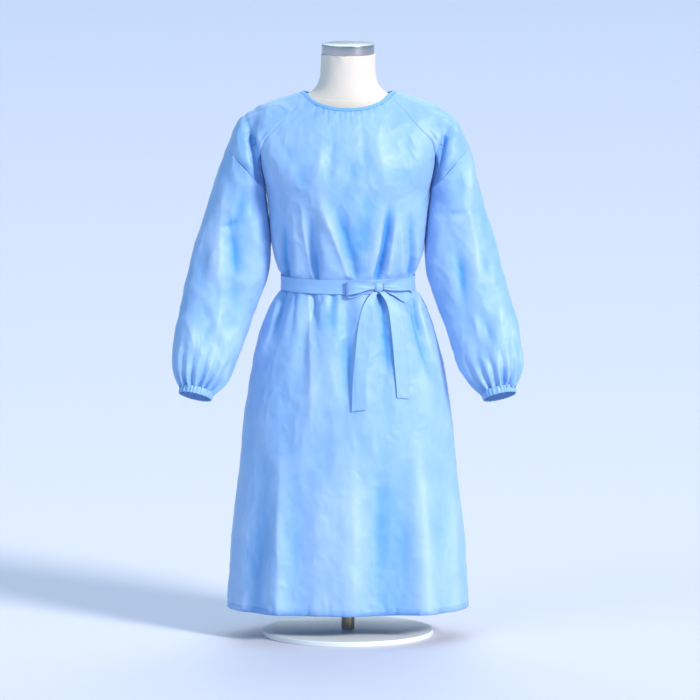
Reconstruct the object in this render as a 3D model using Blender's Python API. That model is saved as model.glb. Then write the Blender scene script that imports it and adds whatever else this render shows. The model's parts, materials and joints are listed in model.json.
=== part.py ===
"""A hospital isolation gown on a limbless dress form, in metres, +Z up.

The front of the gown faces -Y. Left is -X, as seen from the front. The origin is the centre
of the underside of the base plate. Cloth is a wall whose points are worked out from the cut:
rows across the body from the neckline to the hem, and rings down each sleeve.
"""

import math

import bmesh
import bpy
import numpy as np
from mathutils import kdtree

CLOTH = 0.0012  # wall of the body and sleeves
FOLDED = 0.0016  # wall of the belt, bow and cuffs, which are folded double
BINDING_WALL = 0.0020
BINDING_ROWS = ((-0.10, 0.0), (-0.05, 0.0005), (-0.004, 0.0002))  # level, and how far out it stands
NECK_STEPS = (7, 6, 16)  # along each back half, each shoulder and the front
SEAM_GAP = 0.0003
SLEEVE_SIDES = (("left", -1), ("right", 1))

BASE_RADIUS = 0.190
BASE_THICKNESS = 0.012
BASE_BEVEL = 0.0020
CAP_BEVEL = 0.0015
POLE_BEVEL = 0.0010
POLE_RADIUS = 0.0145
FORM_FOOT = 0.580
NECK_TOP = 1.301
FORM_TURNS = 28
FORM_STRETCHES = ((0.0, 4.0, 6), (4.6, 11.0, 11), (11.6, 15.0, 5))  # from ring, to ring, and steps
CAP_RADIUS = 0.0583
CAP_HEIGHT = 0.023
CAP_TURNS = 36
POLE_TURNS = 20
BASE_TURNS = 48

UNDERARM_Z = 1.000
HEM_Z = 0.064
BELT_Z = 0.793
BELT_WIDTH = 0.031
CUFF_RADIUS = 0.0355
CUFF_LENGTH = 0.017
CUFF_RIBS = 16
CUFF_RIB_DEPTH = 0.0011
CUFF_SWELLS = ((0.0, -0.0010), (0.5, 0.0006), (1.0, -0.0010))  # down the cuff, and out
GATHERS = 15
GATHER_DEPTH = 0.0052
OVERLAP_HALF = 0.055  # half the width of the overlap down the back
OVERLAP_LIFT = 0.0034  # from one layer of the overlap to the other
OVERLAP_RAMP = (0.030, 0.025)  # where the lift ends past the free edge, and over what width
KNOT_X = 0.0655
KNOT_OUT = 0.0087
KNOT_HALF = (0.0100, 0.0108, 0.0060)  # across, up and out
KNOT_TURNS = 20
KNOT_RINGS = 9
KNOT_SQUARE = 0.75  # below 1, the knot's outline is squarer than an ellipse
KNOT_GROOVES = (0.10, 9.0, 2.0)  # depth, how many a half turn has, and where they start
KNOT_WAIST = 0.12  # how much narrower its top and bottom are
BELT_CLEAR = 0.0008  # from the gathered cloth to the belt
BELT_LIFT_AT = (0.110, 0.030)  # where the belt starts to rise over the overlap, and over what width
LOOP_STEPS = 15
BAND_SHARES = np.linspace(-1.0, 1.0, 5)  # across a tail or a loop
SLEEVE_TURNS = 20
FRONT_COLUMNS = 26
BACK_COLUMNS = 14
YOKE_ROWS = (0.0, 0.12, 0.27, 0.42, 0.56, 0.70, 0.82, 0.92, 1.0)
BELT_ROWS = (BELT_Z + BELT_WIDTH / 2, BELT_Z, BELT_Z - BELT_WIDTH / 2)
SKIRT_ROWS = (
    0.960, 0.922, 0.888, 0.858, 0.832, *BELT_ROWS, 0.758, 0.733,
    0.700, 0.660, 0.610, 0.550, 0.480, 0.400, 0.310, 0.220, 0.135, HEM_Z,
)
SLEEVE_COARSE_ROWS = (0.0, 0.06, 0.14, 0.23, 0.33, 0.43, 0.54, 0.65, 0.76)
SLEEVE_FINE_ROWS = (0.84, 0.90, 0.955, 1.0)
GOWN_BLUE = ((0.22, 0.49, 0.93), 0.55)
BINDING_BLUE = ((0.16, 0.41, 0.86), 0.60)
FORM_COVER = ((0.83, 0.81, 0.76), 0.70)
STEEL = ((0.60, 0.60, 0.61), 0.25, 1.0)
PAINT = ((0.86, 0.87, 0.88), 0.40)
UNDERARM_REACH = 0.045  # how far from the underarm the seams' normals start to turn down
FOLD_REACH = 0.180  # and out of the fold between body and sleeve
BODY_LEAN = (-1.0, 0.0, 0.0)
SHOULDER_LEAN = (1.0, 0.0, 1.2)
SLEEVE_LEAN = (2.5, 0.0, -5.0)
DEEP_FOLD_DEPTH = 0.022  # the fold in a shoulder piece, from the shoulder to the underarm
DEEP_FOLD_WIDTH = 0.085
DEEP_FOLD_TURNS = (0.44, 0.08)  # its place round the shoulder at its head and foot
DEEP_FOLD_LEVELS = (0.50, 0.92)
SHOULDER_ROUND_FROM = 0.55  # the level at which a shoulder piece starts to round into the sleeve
DEEP_FOLD_ENDS = (0.48, 0.26, 0.14)  # the level where it starts, and how fast it comes and goes
CAP_SEAM_EASE = 0.05  # it fades this close to the shoulder's seams, as a share of a turn
SEAM_TUCK = 0.012  # how far the body's side turns in at its seams, as a tangent
BELT_PRESS = (0.4, 0.012)  # the belt presses the cloth from this share of its width, over this way
UNDER_BELT = 0.25  # share of a fold's depth that stays under the belt
CENTRE_SAG = 0.12  # how far down the body the rows still dip at the middle
CREASE_END = 0.018  # how softly a crease ends
SIDE_SEAM_EASE = 0.10  # creases fade this close to a seam, as a share of half the panel
FOUR_HANDLES = 4.0  # a Hermite half ellipse has tangents of four times its depth
QUARTER = 1.657  # and a quarter ellipse of this times its radius
ARC = 1.15  # tangent of a shallow arc, as a share of its chord


def table(columns, *rows):
    """A short table with named columns."""
    return dict(zip(columns.split(), np.array(rows, float).T))


# The neckline at level -0.1, the binding's seam at 0, and the underarm at 1. Out is towards
# the front for a front column and towards the back for a back column.
YOKE = table(
    "level  front_x front_out front_z  top_x top_z  back_x back_out back_z"
    "  cf_out cf_z  cb_out cb_z",
    (-0.10, 0.0875, 0.0250, 1.2125, 0.0990, 1.2185, 0.0880, 0.0240, 1.2140, 0.0850, 1.1895, 0.0740, 1.2040),
    (0.00, 0.0945, 0.0290, 1.2080, 0.1068, 1.2158, 0.0940, 0.0280, 1.2100, 0.0905, 1.1835, 0.0790, 1.1975),
    (0.25, 0.1240, 0.0600, 1.1800, 0.1540, 1.2010, 0.1190, 0.0580, 1.1860, 0.1080, 1.1500, 0.0960, 1.1600),
    (0.50, 0.1580, 0.0800, 1.1450, 0.2000, 1.1845, 0.1520, 0.0770, 1.1520, 0.1250, 1.1050, 0.1090, 1.1150),
    (0.75, 0.1920, 0.0680, 1.0960, 0.2420, 1.1510, 0.1880, 0.0700, 1.1020, 0.1370, 1.0480, 0.1140, 1.0560),
    (1.00, 0.1820, 0.0000, 1.0000, 0.2680, 1.0940, 0.1820, 0.0000, 1.0000, 0.1430, 0.9850, 0.1120, 0.9950),
)
# The body below the underarm: half its width, and how far its front and back stand out.
BODY = table(
    "z  side  front  back",
    (0.064, 0.2680, 0.1620, 0.1640),
    (0.190, 0.2600, 0.1580, 0.1600),
    (0.352, 0.2440, 0.1510, 0.1540),
    (0.513, 0.2260, 0.1430, 0.1470),
    (0.621, 0.2080, 0.1370, 0.1410),
    (0.702, 0.1870, 0.1290, 0.1310),
    (0.755, 0.1620, 0.1170, 0.1160),
    (0.778, 0.1475, 0.1075, 0.1060),
    (0.793, 0.1465, 0.1060, 0.1040),
    (0.808, 0.1472, 0.1065, 0.1040),
    (0.835, 0.1580, 0.1160, 0.1100),
    (0.880, 0.1680, 0.1290, 0.1130),
    (0.940, 0.1750, 0.1400, 0.1130),
    (0.985, 0.1795, 0.1430, 0.1120),
    (1.000, 0.1820, 0.1432, 0.1120),
)
# The seam between shoulder and sleeve runs from the underarm up to the yoke's last top point.
ARMHOLE_RUN = YOKE["top_x"][-1] - YOKE["front_x"][-1]
ARMHOLE_RISE = YOKE["top_z"][-1] - YOKE["front_z"][-1]
ARMHOLE_X = YOKE["front_x"][-1] + ARMHOLE_RUN / 2
ARMHOLE_Z = YOKE["front_z"][-1] + ARMHOLE_RISE / 2
ARMHOLE_HALF = math.hypot(ARMHOLE_RUN, ARMHOLE_RISE) / 2
ARMHOLE_TILT = math.degrees(math.atan2(ARMHOLE_RISE, ARMHOLE_RUN))
# Rings down a sleeve: the middle, half the width and depth, and the ring's tilt from level. The
# right arm hangs a little closer to the body and is a little flatter, so it has columns of its own.
SLEEVE = table(
    "way  left_x left_half  right_x right_half  out  z  half_depth  tilt lean",
    (0.00, ARMHOLE_X, ARMHOLE_HALF, ARMHOLE_X, ARMHOLE_HALF, 0.0, ARMHOLE_Z, 0.0640, ARMHOLE_TILT, 0.0),
    (0.12, 0.2360, 0.0658, 0.2335, 0.0628, -0.003, 0.9880, 0.0650, 30.0, 0.0),
    (0.26, 0.2450, 0.0763, 0.2405, 0.0710, -0.004, 0.9200, 0.0640, 18.0, 2.0),
    (0.42, 0.2588, 0.0863, 0.2530, 0.0815, 0.0010, 0.8420, 0.0620, 15.5, 6.0),
    (0.58, 0.2820, 0.0830, 0.2755, 0.0808, 0.0130, 0.7620, 0.0600, 15.0, 12.0),
    (0.72, 0.3030, 0.0790, 0.2985, 0.0785, 0.0310, 0.6930, 0.0570, 14.5, 17.0),
    (0.84, 0.3170, 0.0720, 0.3140, 0.0722, 0.0490, 0.6380, 0.0540, 14.0, 19.0),
    (0.93, 0.3285, 0.0600, 0.3270, 0.0590, 0.0635, 0.5900, 0.0470, 14.0, 20.0),
    (1.00, 0.3350, 0.0372, 0.3325, 0.0372, 0.0730, 0.5610, 0.0345, 14.0, 20.0),
)
# Creases in the front and back: each runs from its head to its foot, and is widest and
# deepest where the columns say. A ridge has a negative depth.
FRONT_FOLDS = table(
    "head_x head_z  foot_x foot_z  head_width foot_width  head_depth foot_depth",
    (-0.124, 0.975, -0.137, 0.815, 0.022, 0.010, 0.000, 0.010),
    (-0.098, 1.015, -0.081, 0.815, 0.024, 0.010, 0.000, 0.013),
    (-0.040, 0.985, -0.003, 0.815, 0.026, 0.011, 0.000, 0.011),
    (0.100, 1.010, 0.066, 0.815, 0.024, 0.011, 0.000, 0.015),
    (0.112, 0.930, 0.101, 0.815, 0.018, 0.009, 0.000, 0.007),
    (0.130, 0.970, 0.138, 0.815, 0.022, 0.010, 0.000, 0.010),
    (-0.138, 0.771, -0.190, 0.600, 0.009, 0.020, 0.012, 0.000),
    (-0.081, 0.771, -0.112, 0.480, 0.010, 0.036, 0.013, 0.000),
    (-0.003, 0.771, -0.004, 0.430, 0.011, 0.034, 0.012, 0.000),
    (0.066, 0.771, 0.086, 0.440, 0.011, 0.036, 0.012, 0.000),
    (0.136, 0.771, 0.188, 0.600, 0.009, 0.020, 0.012, 0.000),
    (-0.150, 0.520, -0.162, 0.064, 0.030, 0.040, 0.000, -0.016),
    (0.160, 0.520, 0.174, 0.064, 0.030, 0.040, 0.000, -0.016),
    (0.070, 0.470, 0.082, 0.064, 0.040, 0.046, 0.000, 0.008),
    (-0.085, 0.420, -0.092, 0.064, 0.036, 0.040, 0.000, 0.005),
)
BACK_FOLDS = table(
    "head_x head_z  foot_x foot_z  head_width foot_width  head_depth foot_depth",
    (-0.122, 0.960, -0.130, 0.815, 0.022, 0.010, 0.000, 0.010),
    (-0.100, 0.990, -0.092, 0.815, 0.022, 0.010, 0.000, 0.012),
    (0.104, 0.985, 0.094, 0.815, 0.022, 0.010, 0.000, 0.012),
    (0.118, 0.955, 0.132, 0.815, 0.022, 0.010, 0.000, 0.010),
    (-0.130, 0.771, -0.184, 0.560, 0.009, 0.022, 0.012, 0.000),
    (-0.092, 0.771, -0.122, 0.450, 0.010, 0.032, 0.013, 0.000),
    (0.094, 0.771, 0.126, 0.460, 0.010, 0.032, 0.013, 0.000),
    (0.132, 0.771, 0.186, 0.570, 0.009, 0.022, 0.012, 0.000),
    (-0.150, 0.500, -0.168, 0.064, 0.030, 0.040, 0.000, -0.016),
    (0.152, 0.500, 0.166, 0.064, 0.030, 0.040, 0.000, -0.016),
)
# Creases across a sleeve's rings: where they start and end, as way down it and turn round it.
SLEEVE_FOLDS = table(
    "head_way head_turn  foot_way foot_turn  head_width foot_width  head_depth foot_depth",
    (0.02, 0.10, 0.30, 0.30, 0.05, 0.07, 0.006, 0.000),
    (0.30, 0.20, 0.42, 0.42, 0.05, 0.05, 0.005, 0.003),
    (0.34, 0.66, 0.50, 0.86, 0.06, 0.06, 0.005, 0.003),
    (0.50, 0.18, 0.86, 0.20, 0.06, 0.05, 0.000, 0.006),
)
# The belt's ends: their middles on the skirt, half width, and how far they stand off it.
TAIL_LEFT = table(
    "z  x  half  slant  out  cup",
    (0.7808, 0.0580, 0.0054, 0.000, 0.0060, 0.0),
    (0.760, 0.0475, 0.0100, 0.000, 0.0038, 0.0010),
    (0.735, 0.0415, 0.0135, 0.000, 0.0010, 0.0012),
    (0.700, 0.0365, 0.0148, 0.000, -0.0006, 0.0010),
    (0.660, 0.0325, 0.0150, 0.000, -0.0004, 0.0008),
    (0.615, 0.0280, 0.0150, 0.000, 0.0006, 0.0006),
    (0.570, 0.0250, 0.0150, 0.000, 0.0007, 0.0004),
    (0.524, 0.0235, 0.0152, 0.002, 0.0012, 0.0),
)
TAIL_RIGHT = table(
    "z  x  half  slant  out  cup",
    (0.7808, 0.0728, 0.0054, 0.000, 0.0060, 0.0),
    (0.760, 0.0905, 0.0090, 0.000, 0.0040, 0.0010),
    (0.735, 0.1020, 0.0122, 0.000, 0.0018, 0.0012),
    (0.700, 0.1085, 0.0135, 0.000, 0.0007, 0.0010),
    (0.660, 0.1130, 0.0135, 0.000, 0.0005, 0.0008),
    (0.615, 0.1165, 0.0135, 0.000, 0.0006, 0.0006),
    (0.580, 0.1190, 0.0132, 0.000, 0.0008, 0.0004),
    (0.548, 0.1210, 0.0130, -0.002, 0.0012, 0.0),
)
# The bow's loops, out of the knot, round the far end and back behind. The right one is slack: its
# layer behind hangs lower than the one in front.
LOOP_LEFT = table(
    "step  x  z  out  half  turn",
    (0, 0.0562, 0.7945, 0.0125, 0.0048, -1),
    (1, 0.0387, 0.7960, 0.0168, 0.0092, -1),
    (2, 0.0202, 0.7945, 0.0185, 0.0165, -1),
    (3, 0.0062, 0.7928, 0.0160, 0.0190, -1),
    (4, -0.0022, 0.7908, 0.0100, 0.0195, -1),
    (5, 0.0078, 0.7858, 0.0052, 0.0170, -1),
    (6, 0.0311, 0.7885, 0.0050, 0.0125, -1),
    (7, 0.0560, 0.7926, 0.0060, 0.0048, -1),
)
LOOP_RIGHT = table(
    "step  x  z  out  half  turn",
    (0, 0.0750, 0.7931, 0.0125, 0.0052, 1),
    (1, 0.0896, 0.7962, 0.0165, 0.0118, 1),
    (2, 0.1100, 0.7965, 0.0155, 0.0160, 1),
    (3, 0.1270, 0.7945, 0.0120, 0.0172, 1),
    (4, 0.1350, 0.7820, 0.0085, 0.0160, 1),
    (5, 0.1240, 0.7700, 0.0048, 0.0145, 1),
    (6, 0.1020, 0.7785, 0.0066, 0.0110, 1),
    (7, 0.0752, 0.7895, 0.0070, 0.0050, 1),
)
# The form's rings: where each passes the middle of the front, the side and the back.
FORM = table(
    "ring  front_out front_z  side_x side_z  back_out back_z",
    (0, 0.0920, 0.580, 0.1500, 0.5800, 0.1000, 0.5800),
    (1, 0.1020, 0.650, 0.1660, 0.6500, 0.1120, 0.6500),
    (2, 0.0960, 0.730, 0.1500, 0.7300, 0.1000, 0.7300),
    (3, 0.0840, 0.800, 0.1240, 0.8000, 0.0820, 0.8000),
    (4, 0.0980, 0.890, 0.1360, 0.8900, 0.0880, 0.8900),
    (5, 0.1120, 0.970, 0.1520, 0.9850, 0.0940, 0.9750),
    (6, 0.1130, 1.020, 0.1760, 1.0700, 0.0960, 1.0300),
    (7, 0.1030, 1.065, 0.1900, 1.1400, 0.0910, 1.0750),
    (8, 0.0920, 1.110, 0.1800, 1.1830, 0.0830, 1.1200),
    (9, 0.0800, 1.150, 0.1500, 1.2000, 0.0730, 1.1600),
    (10, 0.0710, 1.178, 0.1080, 1.2075, 0.0630, 1.1890),
    (11, 0.0660, 1.200, 0.0860, 1.2148, 0.0590, 1.2110),
    (12, 0.0620, 1.222, 0.0700, 1.2290, 0.0575, 1.2320),
    (13, 0.0595, 1.248, 0.0630, 1.2490, 0.0555, 1.2500),
    (14, 0.0590, 1.275, 0.0605, 1.2750, 0.0560, 1.2750),
    (15, 0.0585, 1.301, 0.0595, 1.3010, 0.0575, 1.3010),
)


def ease(x):
    """0 to 1 with a soft start and end."""
    x = np.clip(x, 0.0, 1.0)
    return x * x * (3.0 - 2.0 * x)


def through(knots, values, at):
    """A smooth curve through a table's values."""
    values = np.asarray(values, float)
    at = np.asarray(at, float)
    slopes = np.gradient(values, knots)
    i = np.clip(np.searchsorted(knots, at, "right") - 1, 0, len(knots) - 2)
    step = knots[i + 1] - knots[i]
    u = (at - knots[i]) / step
    start = (1 + 2 * u) * (1 - u) ** 2 * values[i] + u * (1 - u) ** 2 * step * slopes[i]
    end = u * u * (3 - 2 * u) * values[i + 1] + u * u * (u - 1) * step * slopes[i + 1]
    return start + end


def read(rows, key, column, at):
    return through(rows[key], rows[column], at)


def vec(x, y, z):
    x, y, z = np.broadcast_arrays(x, y, z)
    return np.stack([x, y, z], axis=-1).astype(float)


def unit(v):
    return v / np.maximum(np.linalg.norm(v, axis=-1, keepdims=True), 1e-12)


def hermite(a, b, leave, arrive, u):
    """From a to b, leaving and arriving along the two tangents."""
    u = np.asarray(u, float)[..., None]
    start = (1 + 2 * u) * (1 - u) ** 2 * a + u * (1 - u) ** 2 * leave
    return start + u * u * (3 - 2 * u) * b + u * u * (u - 1) * arrive


def levels(face, level):
    """A row's seam point, middle point and tangents, on the +X side. Face is -1 at the front."""
    side, mid = ("front", "cf") if face < 0 else ("back", "cb")
    y = np.minimum(level, 1.0)
    yoke_seam = vec(
        read(YOKE, "level", side + "_x", y),
        face * read(YOKE, "level", side + "_out", y),
        read(YOKE, "level", side + "_z", y),
    )
    yoke_mid = vec(
        0.0, face * read(YOKE, "level", mid + "_out", y), read(YOKE, "level", mid + "_z", y)
    )
    drop = np.clip(level - 1.0, 0.0, 1.0)
    z = UNDERARM_Z + (HEM_Z - UNDERARM_Z) * drop
    below = (level > 1.0)[..., None]
    width = read(BODY, "z", "side", z)
    depth = read(BODY, "z", "front" if face < 0 else "back", z)
    sag = (YOKE[mid + "_z"][-1] - UNDERARM_Z) * (1 - ease(drop / CENTRE_SAG))
    seam = np.where(below, vec(width, 0.0, z), yoke_seam)
    middle = np.where(below, vec(0.0, face * depth, z + sag), yoke_mid)
    chord = seam - middle
    length = np.linalg.norm(chord, axis=-1, keepdims=True)
    across = vec(np.ones_like(level), 0.0, 0.0)
    line = chord / length
    turned = 2 * np.sum(across * line, axis=-1, keepdims=True) * line - across
    round_it = ease((level - 0.6) / 0.4)[..., None]
    arrive_round = vec(-SEAM_TUCK * np.ones_like(level), -face * QUARTER * depth, 0.0)
    arrive = (1 - round_it) * turned * ARC * length + round_it * arrive_round
    leave = (1 - round_it) * across * ARC * length + round_it * across * QUARTER * width[..., None]
    return seam, middle, arrive, leave


def panel_base(face, across, level):
    """The front or back before its folds. Across runs from -1 at the left seam to 1."""
    across, level = np.broadcast_arrays(np.asarray(across, float), np.asarray(level, float))
    seam, middle, arrive, leave = levels(face, level)
    point = hermite(middle, seam, leave, arrive, np.abs(across))
    point[..., 0] *= np.where(across < 0, -1.0, 1.0)
    return point


def cap_base(side, turn, level):
    """A shoulder piece: turn runs from 0 at its front seam over the top to 1 at its back seam."""
    turn, level = np.broadcast_arrays(np.asarray(turn, float), np.asarray(level, float))
    top = vec(read(YOKE, "level", "top_x", level), 0.0, read(YOKE, "level", "top_z", level))
    into_sleeve = ease((level - SHOULDER_ROUND_FROM) / (1.0 - SHOULDER_ROUND_FROM))[..., None]
    handle = FOUR_HANDLES * SLEEVE["half_depth"][0]
    halves = []
    for face in (-1, 1):
        seam, _, arrive, _ = levels(face, level)
        length = np.linalg.norm(top - seam, axis=-1, keepdims=True)
        ring = vec(0.0, face * np.ones_like(level), 0.0) * handle
        leave = (1 - into_sleeve) * unit(arrive) * ARC * length + into_sleeve * ring
        over = (1 - into_sleeve) * ARC * length + into_sleeve * handle
        arrive_top = vec(0.0, -face * np.ones_like(level), 0.0) * over
        share = np.clip(2 * turn if face < 0 else 2 - 2 * turn, 0.0, 1.0)
        halves.append(hermite(seam, top, leave, arrive_top, share))
    point = np.where((turn <= 0.5)[..., None], *halves)
    point[..., 0] *= side
    return point


def sleeve_base(side, turn, way):
    """A sleeve's tube: turn runs from 0 at the underarm round by the front to 1."""
    turn, way = np.broadcast_arrays(np.asarray(turn, float), np.asarray(way, float))
    arm = "left" if side < 0 else "right"
    x, out, z = (read(SLEEVE, "way", c, way) for c in (arm + "_x", "out", "z"))
    middle = vec(x, -out, z)
    tilt = np.radians(read(SLEEVE, "way", "tilt", way))
    lean = np.radians(read(SLEEVE, "way", "lean", way))
    half = read(SLEEVE, "way", arm + "_half", way)[..., None]
    handle = FOUR_HANDLES * read(SLEEVE, "way", "half_depth", way)[..., None]
    outward = vec(np.cos(tilt), 0.0, np.sin(tilt))
    front = vec(0.0, -np.cos(lean), np.sin(lean))
    inner, outer = middle - half * outward, middle + half * outward
    before = hermite(inner, outer, handle * front, -handle * front, np.clip(2 * turn, 0, 1))
    behind = hermite(inner, outer, -handle * front, handle * front, np.clip(2 - 2 * turn, 0, 1))
    point = np.where((turn <= 0.5)[..., None], before, behind)
    point[..., 0] *= side
    return point


def normals_of(base, a, b, step=1e-4):
    """Outward normals of a base surface, from the points just beside each one."""
    along_a = base(a + step, b) - base(a - step, b)
    along_b = base(a, b + step) - base(a, b - step)
    return unit(np.cross(along_a, along_b))


def crease(folds, key, across, down):
    """How far the listed folds push the cloth in at places across and down a piece."""
    depth = np.zeros(np.broadcast(across, down).shape)
    one, two = key
    for i in range(len(folds["head_depth"])):
        head = np.array([folds["head_" + one][i], folds["head_" + two][i]])
        foot = np.array([folds["foot_" + one][i], folds["foot_" + two][i]])
        run = foot - head
        share = ((across - head[0]) * run[0] + (down - head[1]) * run[1]) / (run @ run)
        off = ((across - head[0]) * run[1] - (down - head[1]) * run[0]) / np.hypot(*run)
        held = np.clip(share, 0.0, 1.0)
        width = folds["head_width"][i] * (1 - held) + folds["foot_width"][i] * held
        deep = folds["head_depth"][i] * (1 - ease(held)) + folds["foot_depth"][i] * ease(held)
        beyond = np.maximum(np.maximum(-share, share - 1.0), 0.0) * np.hypot(*run)
        depth += deep * np.exp(-((off / width) ** 2) - (beyond / CREASE_END) ** 2)
    return depth


def panel(face, across, level):
    """The front or back with its folds: points and outward normals."""
    across, level = np.broadcast_arrays(np.asarray(across, float), np.asarray(level, float))
    base = panel_base(face, across, level)
    normal = face * normals_of(lambda a, b: panel_base(face, a, b), across, level)
    folds = FRONT_FOLDS if face < 0 else BACK_FOLDS
    depth = crease(folds, "xz", base[..., 0], base[..., 2])
    depth = depth * ease((1 - np.abs(across)) / SIDE_SEAM_EASE)
    share, way = BELT_PRESS
    free = ease((np.abs(base[..., 2] - BELT_Z) - share * BELT_WIDTH) / way)
    trough = UNDER_BELT + (1.0 - UNDER_BELT) * free
    depth = depth * np.where(depth > 0, trough, free)
    return base - normal * depth[..., None], normal


def cap(side, turn, level):
    """A shoulder piece with the deep fold that runs down from the shoulder to the underarm."""
    turn, level = np.broadcast_arrays(np.asarray(turn, float), np.asarray(level, float))
    base = cap_base(side, turn, level)
    normal = -side * normals_of(lambda a, b: cap_base(side, a, b), turn, level)
    depth = np.zeros(turn.shape)
    down = (level - DEEP_FOLD_LEVELS[0]) / (DEEP_FOLD_LEVELS[1] - DEEP_FOLD_LEVELS[0])
    line = DEEP_FOLD_TURNS[0] + (DEEP_FOLD_TURNS[1] - DEEP_FOLD_TURNS[0]) * down
    begin, come, go = DEEP_FOLD_ENDS
    for start in (0.0, 1.0):
        off = (np.abs(turn - start) - line) / DEEP_FOLD_WIDTH
        deep = DEEP_FOLD_DEPTH * ease((level - begin) / come) * ease((1.0 - level) / go)
        depth += deep * np.exp(-off * off)
    depth *= ease(np.minimum(turn, 1 - turn) / CAP_SEAM_EASE)
    return base - normal * depth[..., None], normal


def gathered(turn, way):
    """The ruffle of a sleeve's end: deepest at the cuff and gone a hand's width above it."""
    return GATHER_DEPTH * ease((way - 0.80) / 0.20) * np.cos(2 * math.pi * GATHERS * turn)


def sleeve(side, turn, way):
    turn, way = np.broadcast_arrays(np.asarray(turn, float), np.asarray(way, float))
    base = sleeve_base(side, turn, way)
    normal = -side * normals_of(lambda a, b: sleeve_base(side, a, b), turn, way)
    depth = crease(SLEEVE_FOLDS, ("way", "turn"), way, turn) * ease(way / 0.03)
    depth = depth * (1 - ease((way - 0.86) / 0.1)) - gathered(turn, way)
    return base - normal * depth[..., None], normal


def across_at(face, x, level):
    """Where across a row a given x lies."""
    steps = np.linspace(-1.0, 1.0, 161)
    place = []
    for row in np.atleast_1d(level):
        place.append(np.interp(x, panel_base(face, steps, row)[:, 0], steps))
    return np.array(place)


def back_half(side, share, level):
    """A back panel from its side seam at 0 to its free edge past the middle at 1."""
    free = across_at(1, -side * OVERLAP_HALF, level[:, 0])[:, None]
    across = side + (free - side) * share
    point, normal = panel(1, across, level)
    layer = -side * 0.5 * OVERLAP_LIFT
    end, width = OVERLAP_RAMP
    near = ease((OVERLAP_HALF + end - side * point[..., 0]) / width)
    return point + normal * (layer * near)[..., None], normal


# From surfaces to closed meshes


def material(name, colour, roughness, metallic=0.0):
    made = bpy.data.materials.new(name)
    made.use_nodes = True
    shader = made.node_tree.nodes["Principled BSDF"]
    shader.inputs["Base Color"].default_value = (*colour, 1.0)
    shader.inputs["Roughness"].default_value = roughness
    shader.inputs["Metallic"].default_value = metallic
    return made


def add_object(name, points, faces, finish, parent):
    """A closed mesh with its faces pointing out, shaded smooth but for its real edges."""
    mesh = bpy.data.meshes.new(name)
    mesh.from_pydata([tuple(p) for p in points], [], faces)
    work = bmesh.new()
    work.from_mesh(mesh)
    bmesh.ops.recalc_face_normals(work, faces=work.faces)
    if work.calc_volume(signed=True) < 0:
        bmesh.ops.reverse_faces(work, faces=work.faces)
    work.to_mesh(mesh)
    work.free()
    mesh.shade_smooth()
    mesh.set_sharp_from_angle(angle=math.radians(50))
    mesh.materials.append(material(name + "_finish", *finish))
    made = bpy.data.objects.new(name, mesh)
    bpy.context.collection.objects.link(made)
    made.parent = parent
    return made


def join_rows(rows, wrap):
    """Faces between rows of point numbers; a row may have a whole multiple of the last one's."""
    faces = []
    for upper, lower in zip(rows[:-1], rows[1:]):
        spans = len(upper) if wrap else len(upper) - 1
        below = len(lower) if wrap else len(lower) - 1
        times = below // spans
        for i in range(spans):
            bottom = [lower[(times * i + k) % len(lower)] for k in range(times, -1, -1)]
            faces.append([upper[i], upper[(i + 1) % len(upper)], *bottom])
    return faces


def from_underarm(point):
    """How far points are from the underarm on their own side."""
    corner = vec(np.sign(point[..., 0]) * YOKE["front_x"][-1], 0.0, UNDERARM_Z)
    return np.linalg.norm(point - corner, axis=-1, keepdims=True)


def drawn_in(point, beside, normal, lean):
    """A seam's points moved towards their neighbours by half the gap, square to the wall.

    Near the underarm, where neighbours lie the same way, lean takes each piece its own way."""
    away = beside - point
    away = unit(away - normal * np.sum(away * normal, axis=-1, keepdims=True))
    own = np.array(lean) * vec(np.sign(point[..., 0]), 1.0, 1.0)
    near = ease(1.0 - from_underarm(point) / UNDERARM_REACH)
    return point + unit(away + own * near) * SEAM_GAP / 2


def pulled(rows, normals, lean, top, bottom, sides):
    """The rows with their seam edges drawn in by half the gap."""
    rows = [row.copy() for row in rows]
    for edge, beside in [(0, 1)] * top + [(-1, -2)] * bottom:
        rows[edge] = drawn_in(rows[edge], rows[beside][: len(rows[edge])], normals[edge], lean)
    for edge, beside in sides:
        for row, normal in zip(rows, normals):
            row[edge] = drawn_in(row[edge], row[beside], normal[edge], lean)
    return rows


BOTH_SIDES = ((0, 1), (-1, -2))  # each an edge's place in a row, and its neighbour's
SEAM_SIDE = BOTH_SIDES[:1]


class Cloth:
    """Rows of points with their normals, to be made into a wall of cloth."""

    def __init__(
        self, name, rows, lean=(0, 0, 0), wrap=False, top=True, bottom=True, sides=BOTH_SIDES
    ):
        self.name = name
        self.points = [np.array(point, float) for point, _ in rows]
        self.normals = [np.array(normal, float) for _, normal in rows]
        self.wrap = wrap
        self.lean = lean
        self.seams = (lean, top, bottom, () if wrap else sides)

    def solid(self, wall, finish, parent):
        outer = pulled(self.points, self.normals, *self.seams)
        inside = [p - n * wall for p, n in zip(self.points, self.normals)]
        inner = pulled(inside, self.normals, *self.seams)
        points = np.concatenate(outer + inner)
        total = sum(len(row) for row in outer)
        rows = []
        start = 0
        for row in outer:
            rows.append(list(range(start, start + len(row))))
            start += len(row)
        back = [[i + total for i in row] for row in rows]
        faces = join_rows(rows, self.wrap)
        faces += [face[::-1] for face in join_rows(back, self.wrap)]
        faces += join_rows([back[0], rows[0]], self.wrap)
        faces += join_rows([rows[-1], back[-1]], self.wrap)
        if not self.wrap:
            faces += join_rows([[r[0] for r in rows], [r[0] for r in back]], False)
            faces += join_rows([[r[-1] for r in back], [r[-1] for r in rows]], False)
        return add_object(self.name, points, faces, finish, parent)


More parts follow.
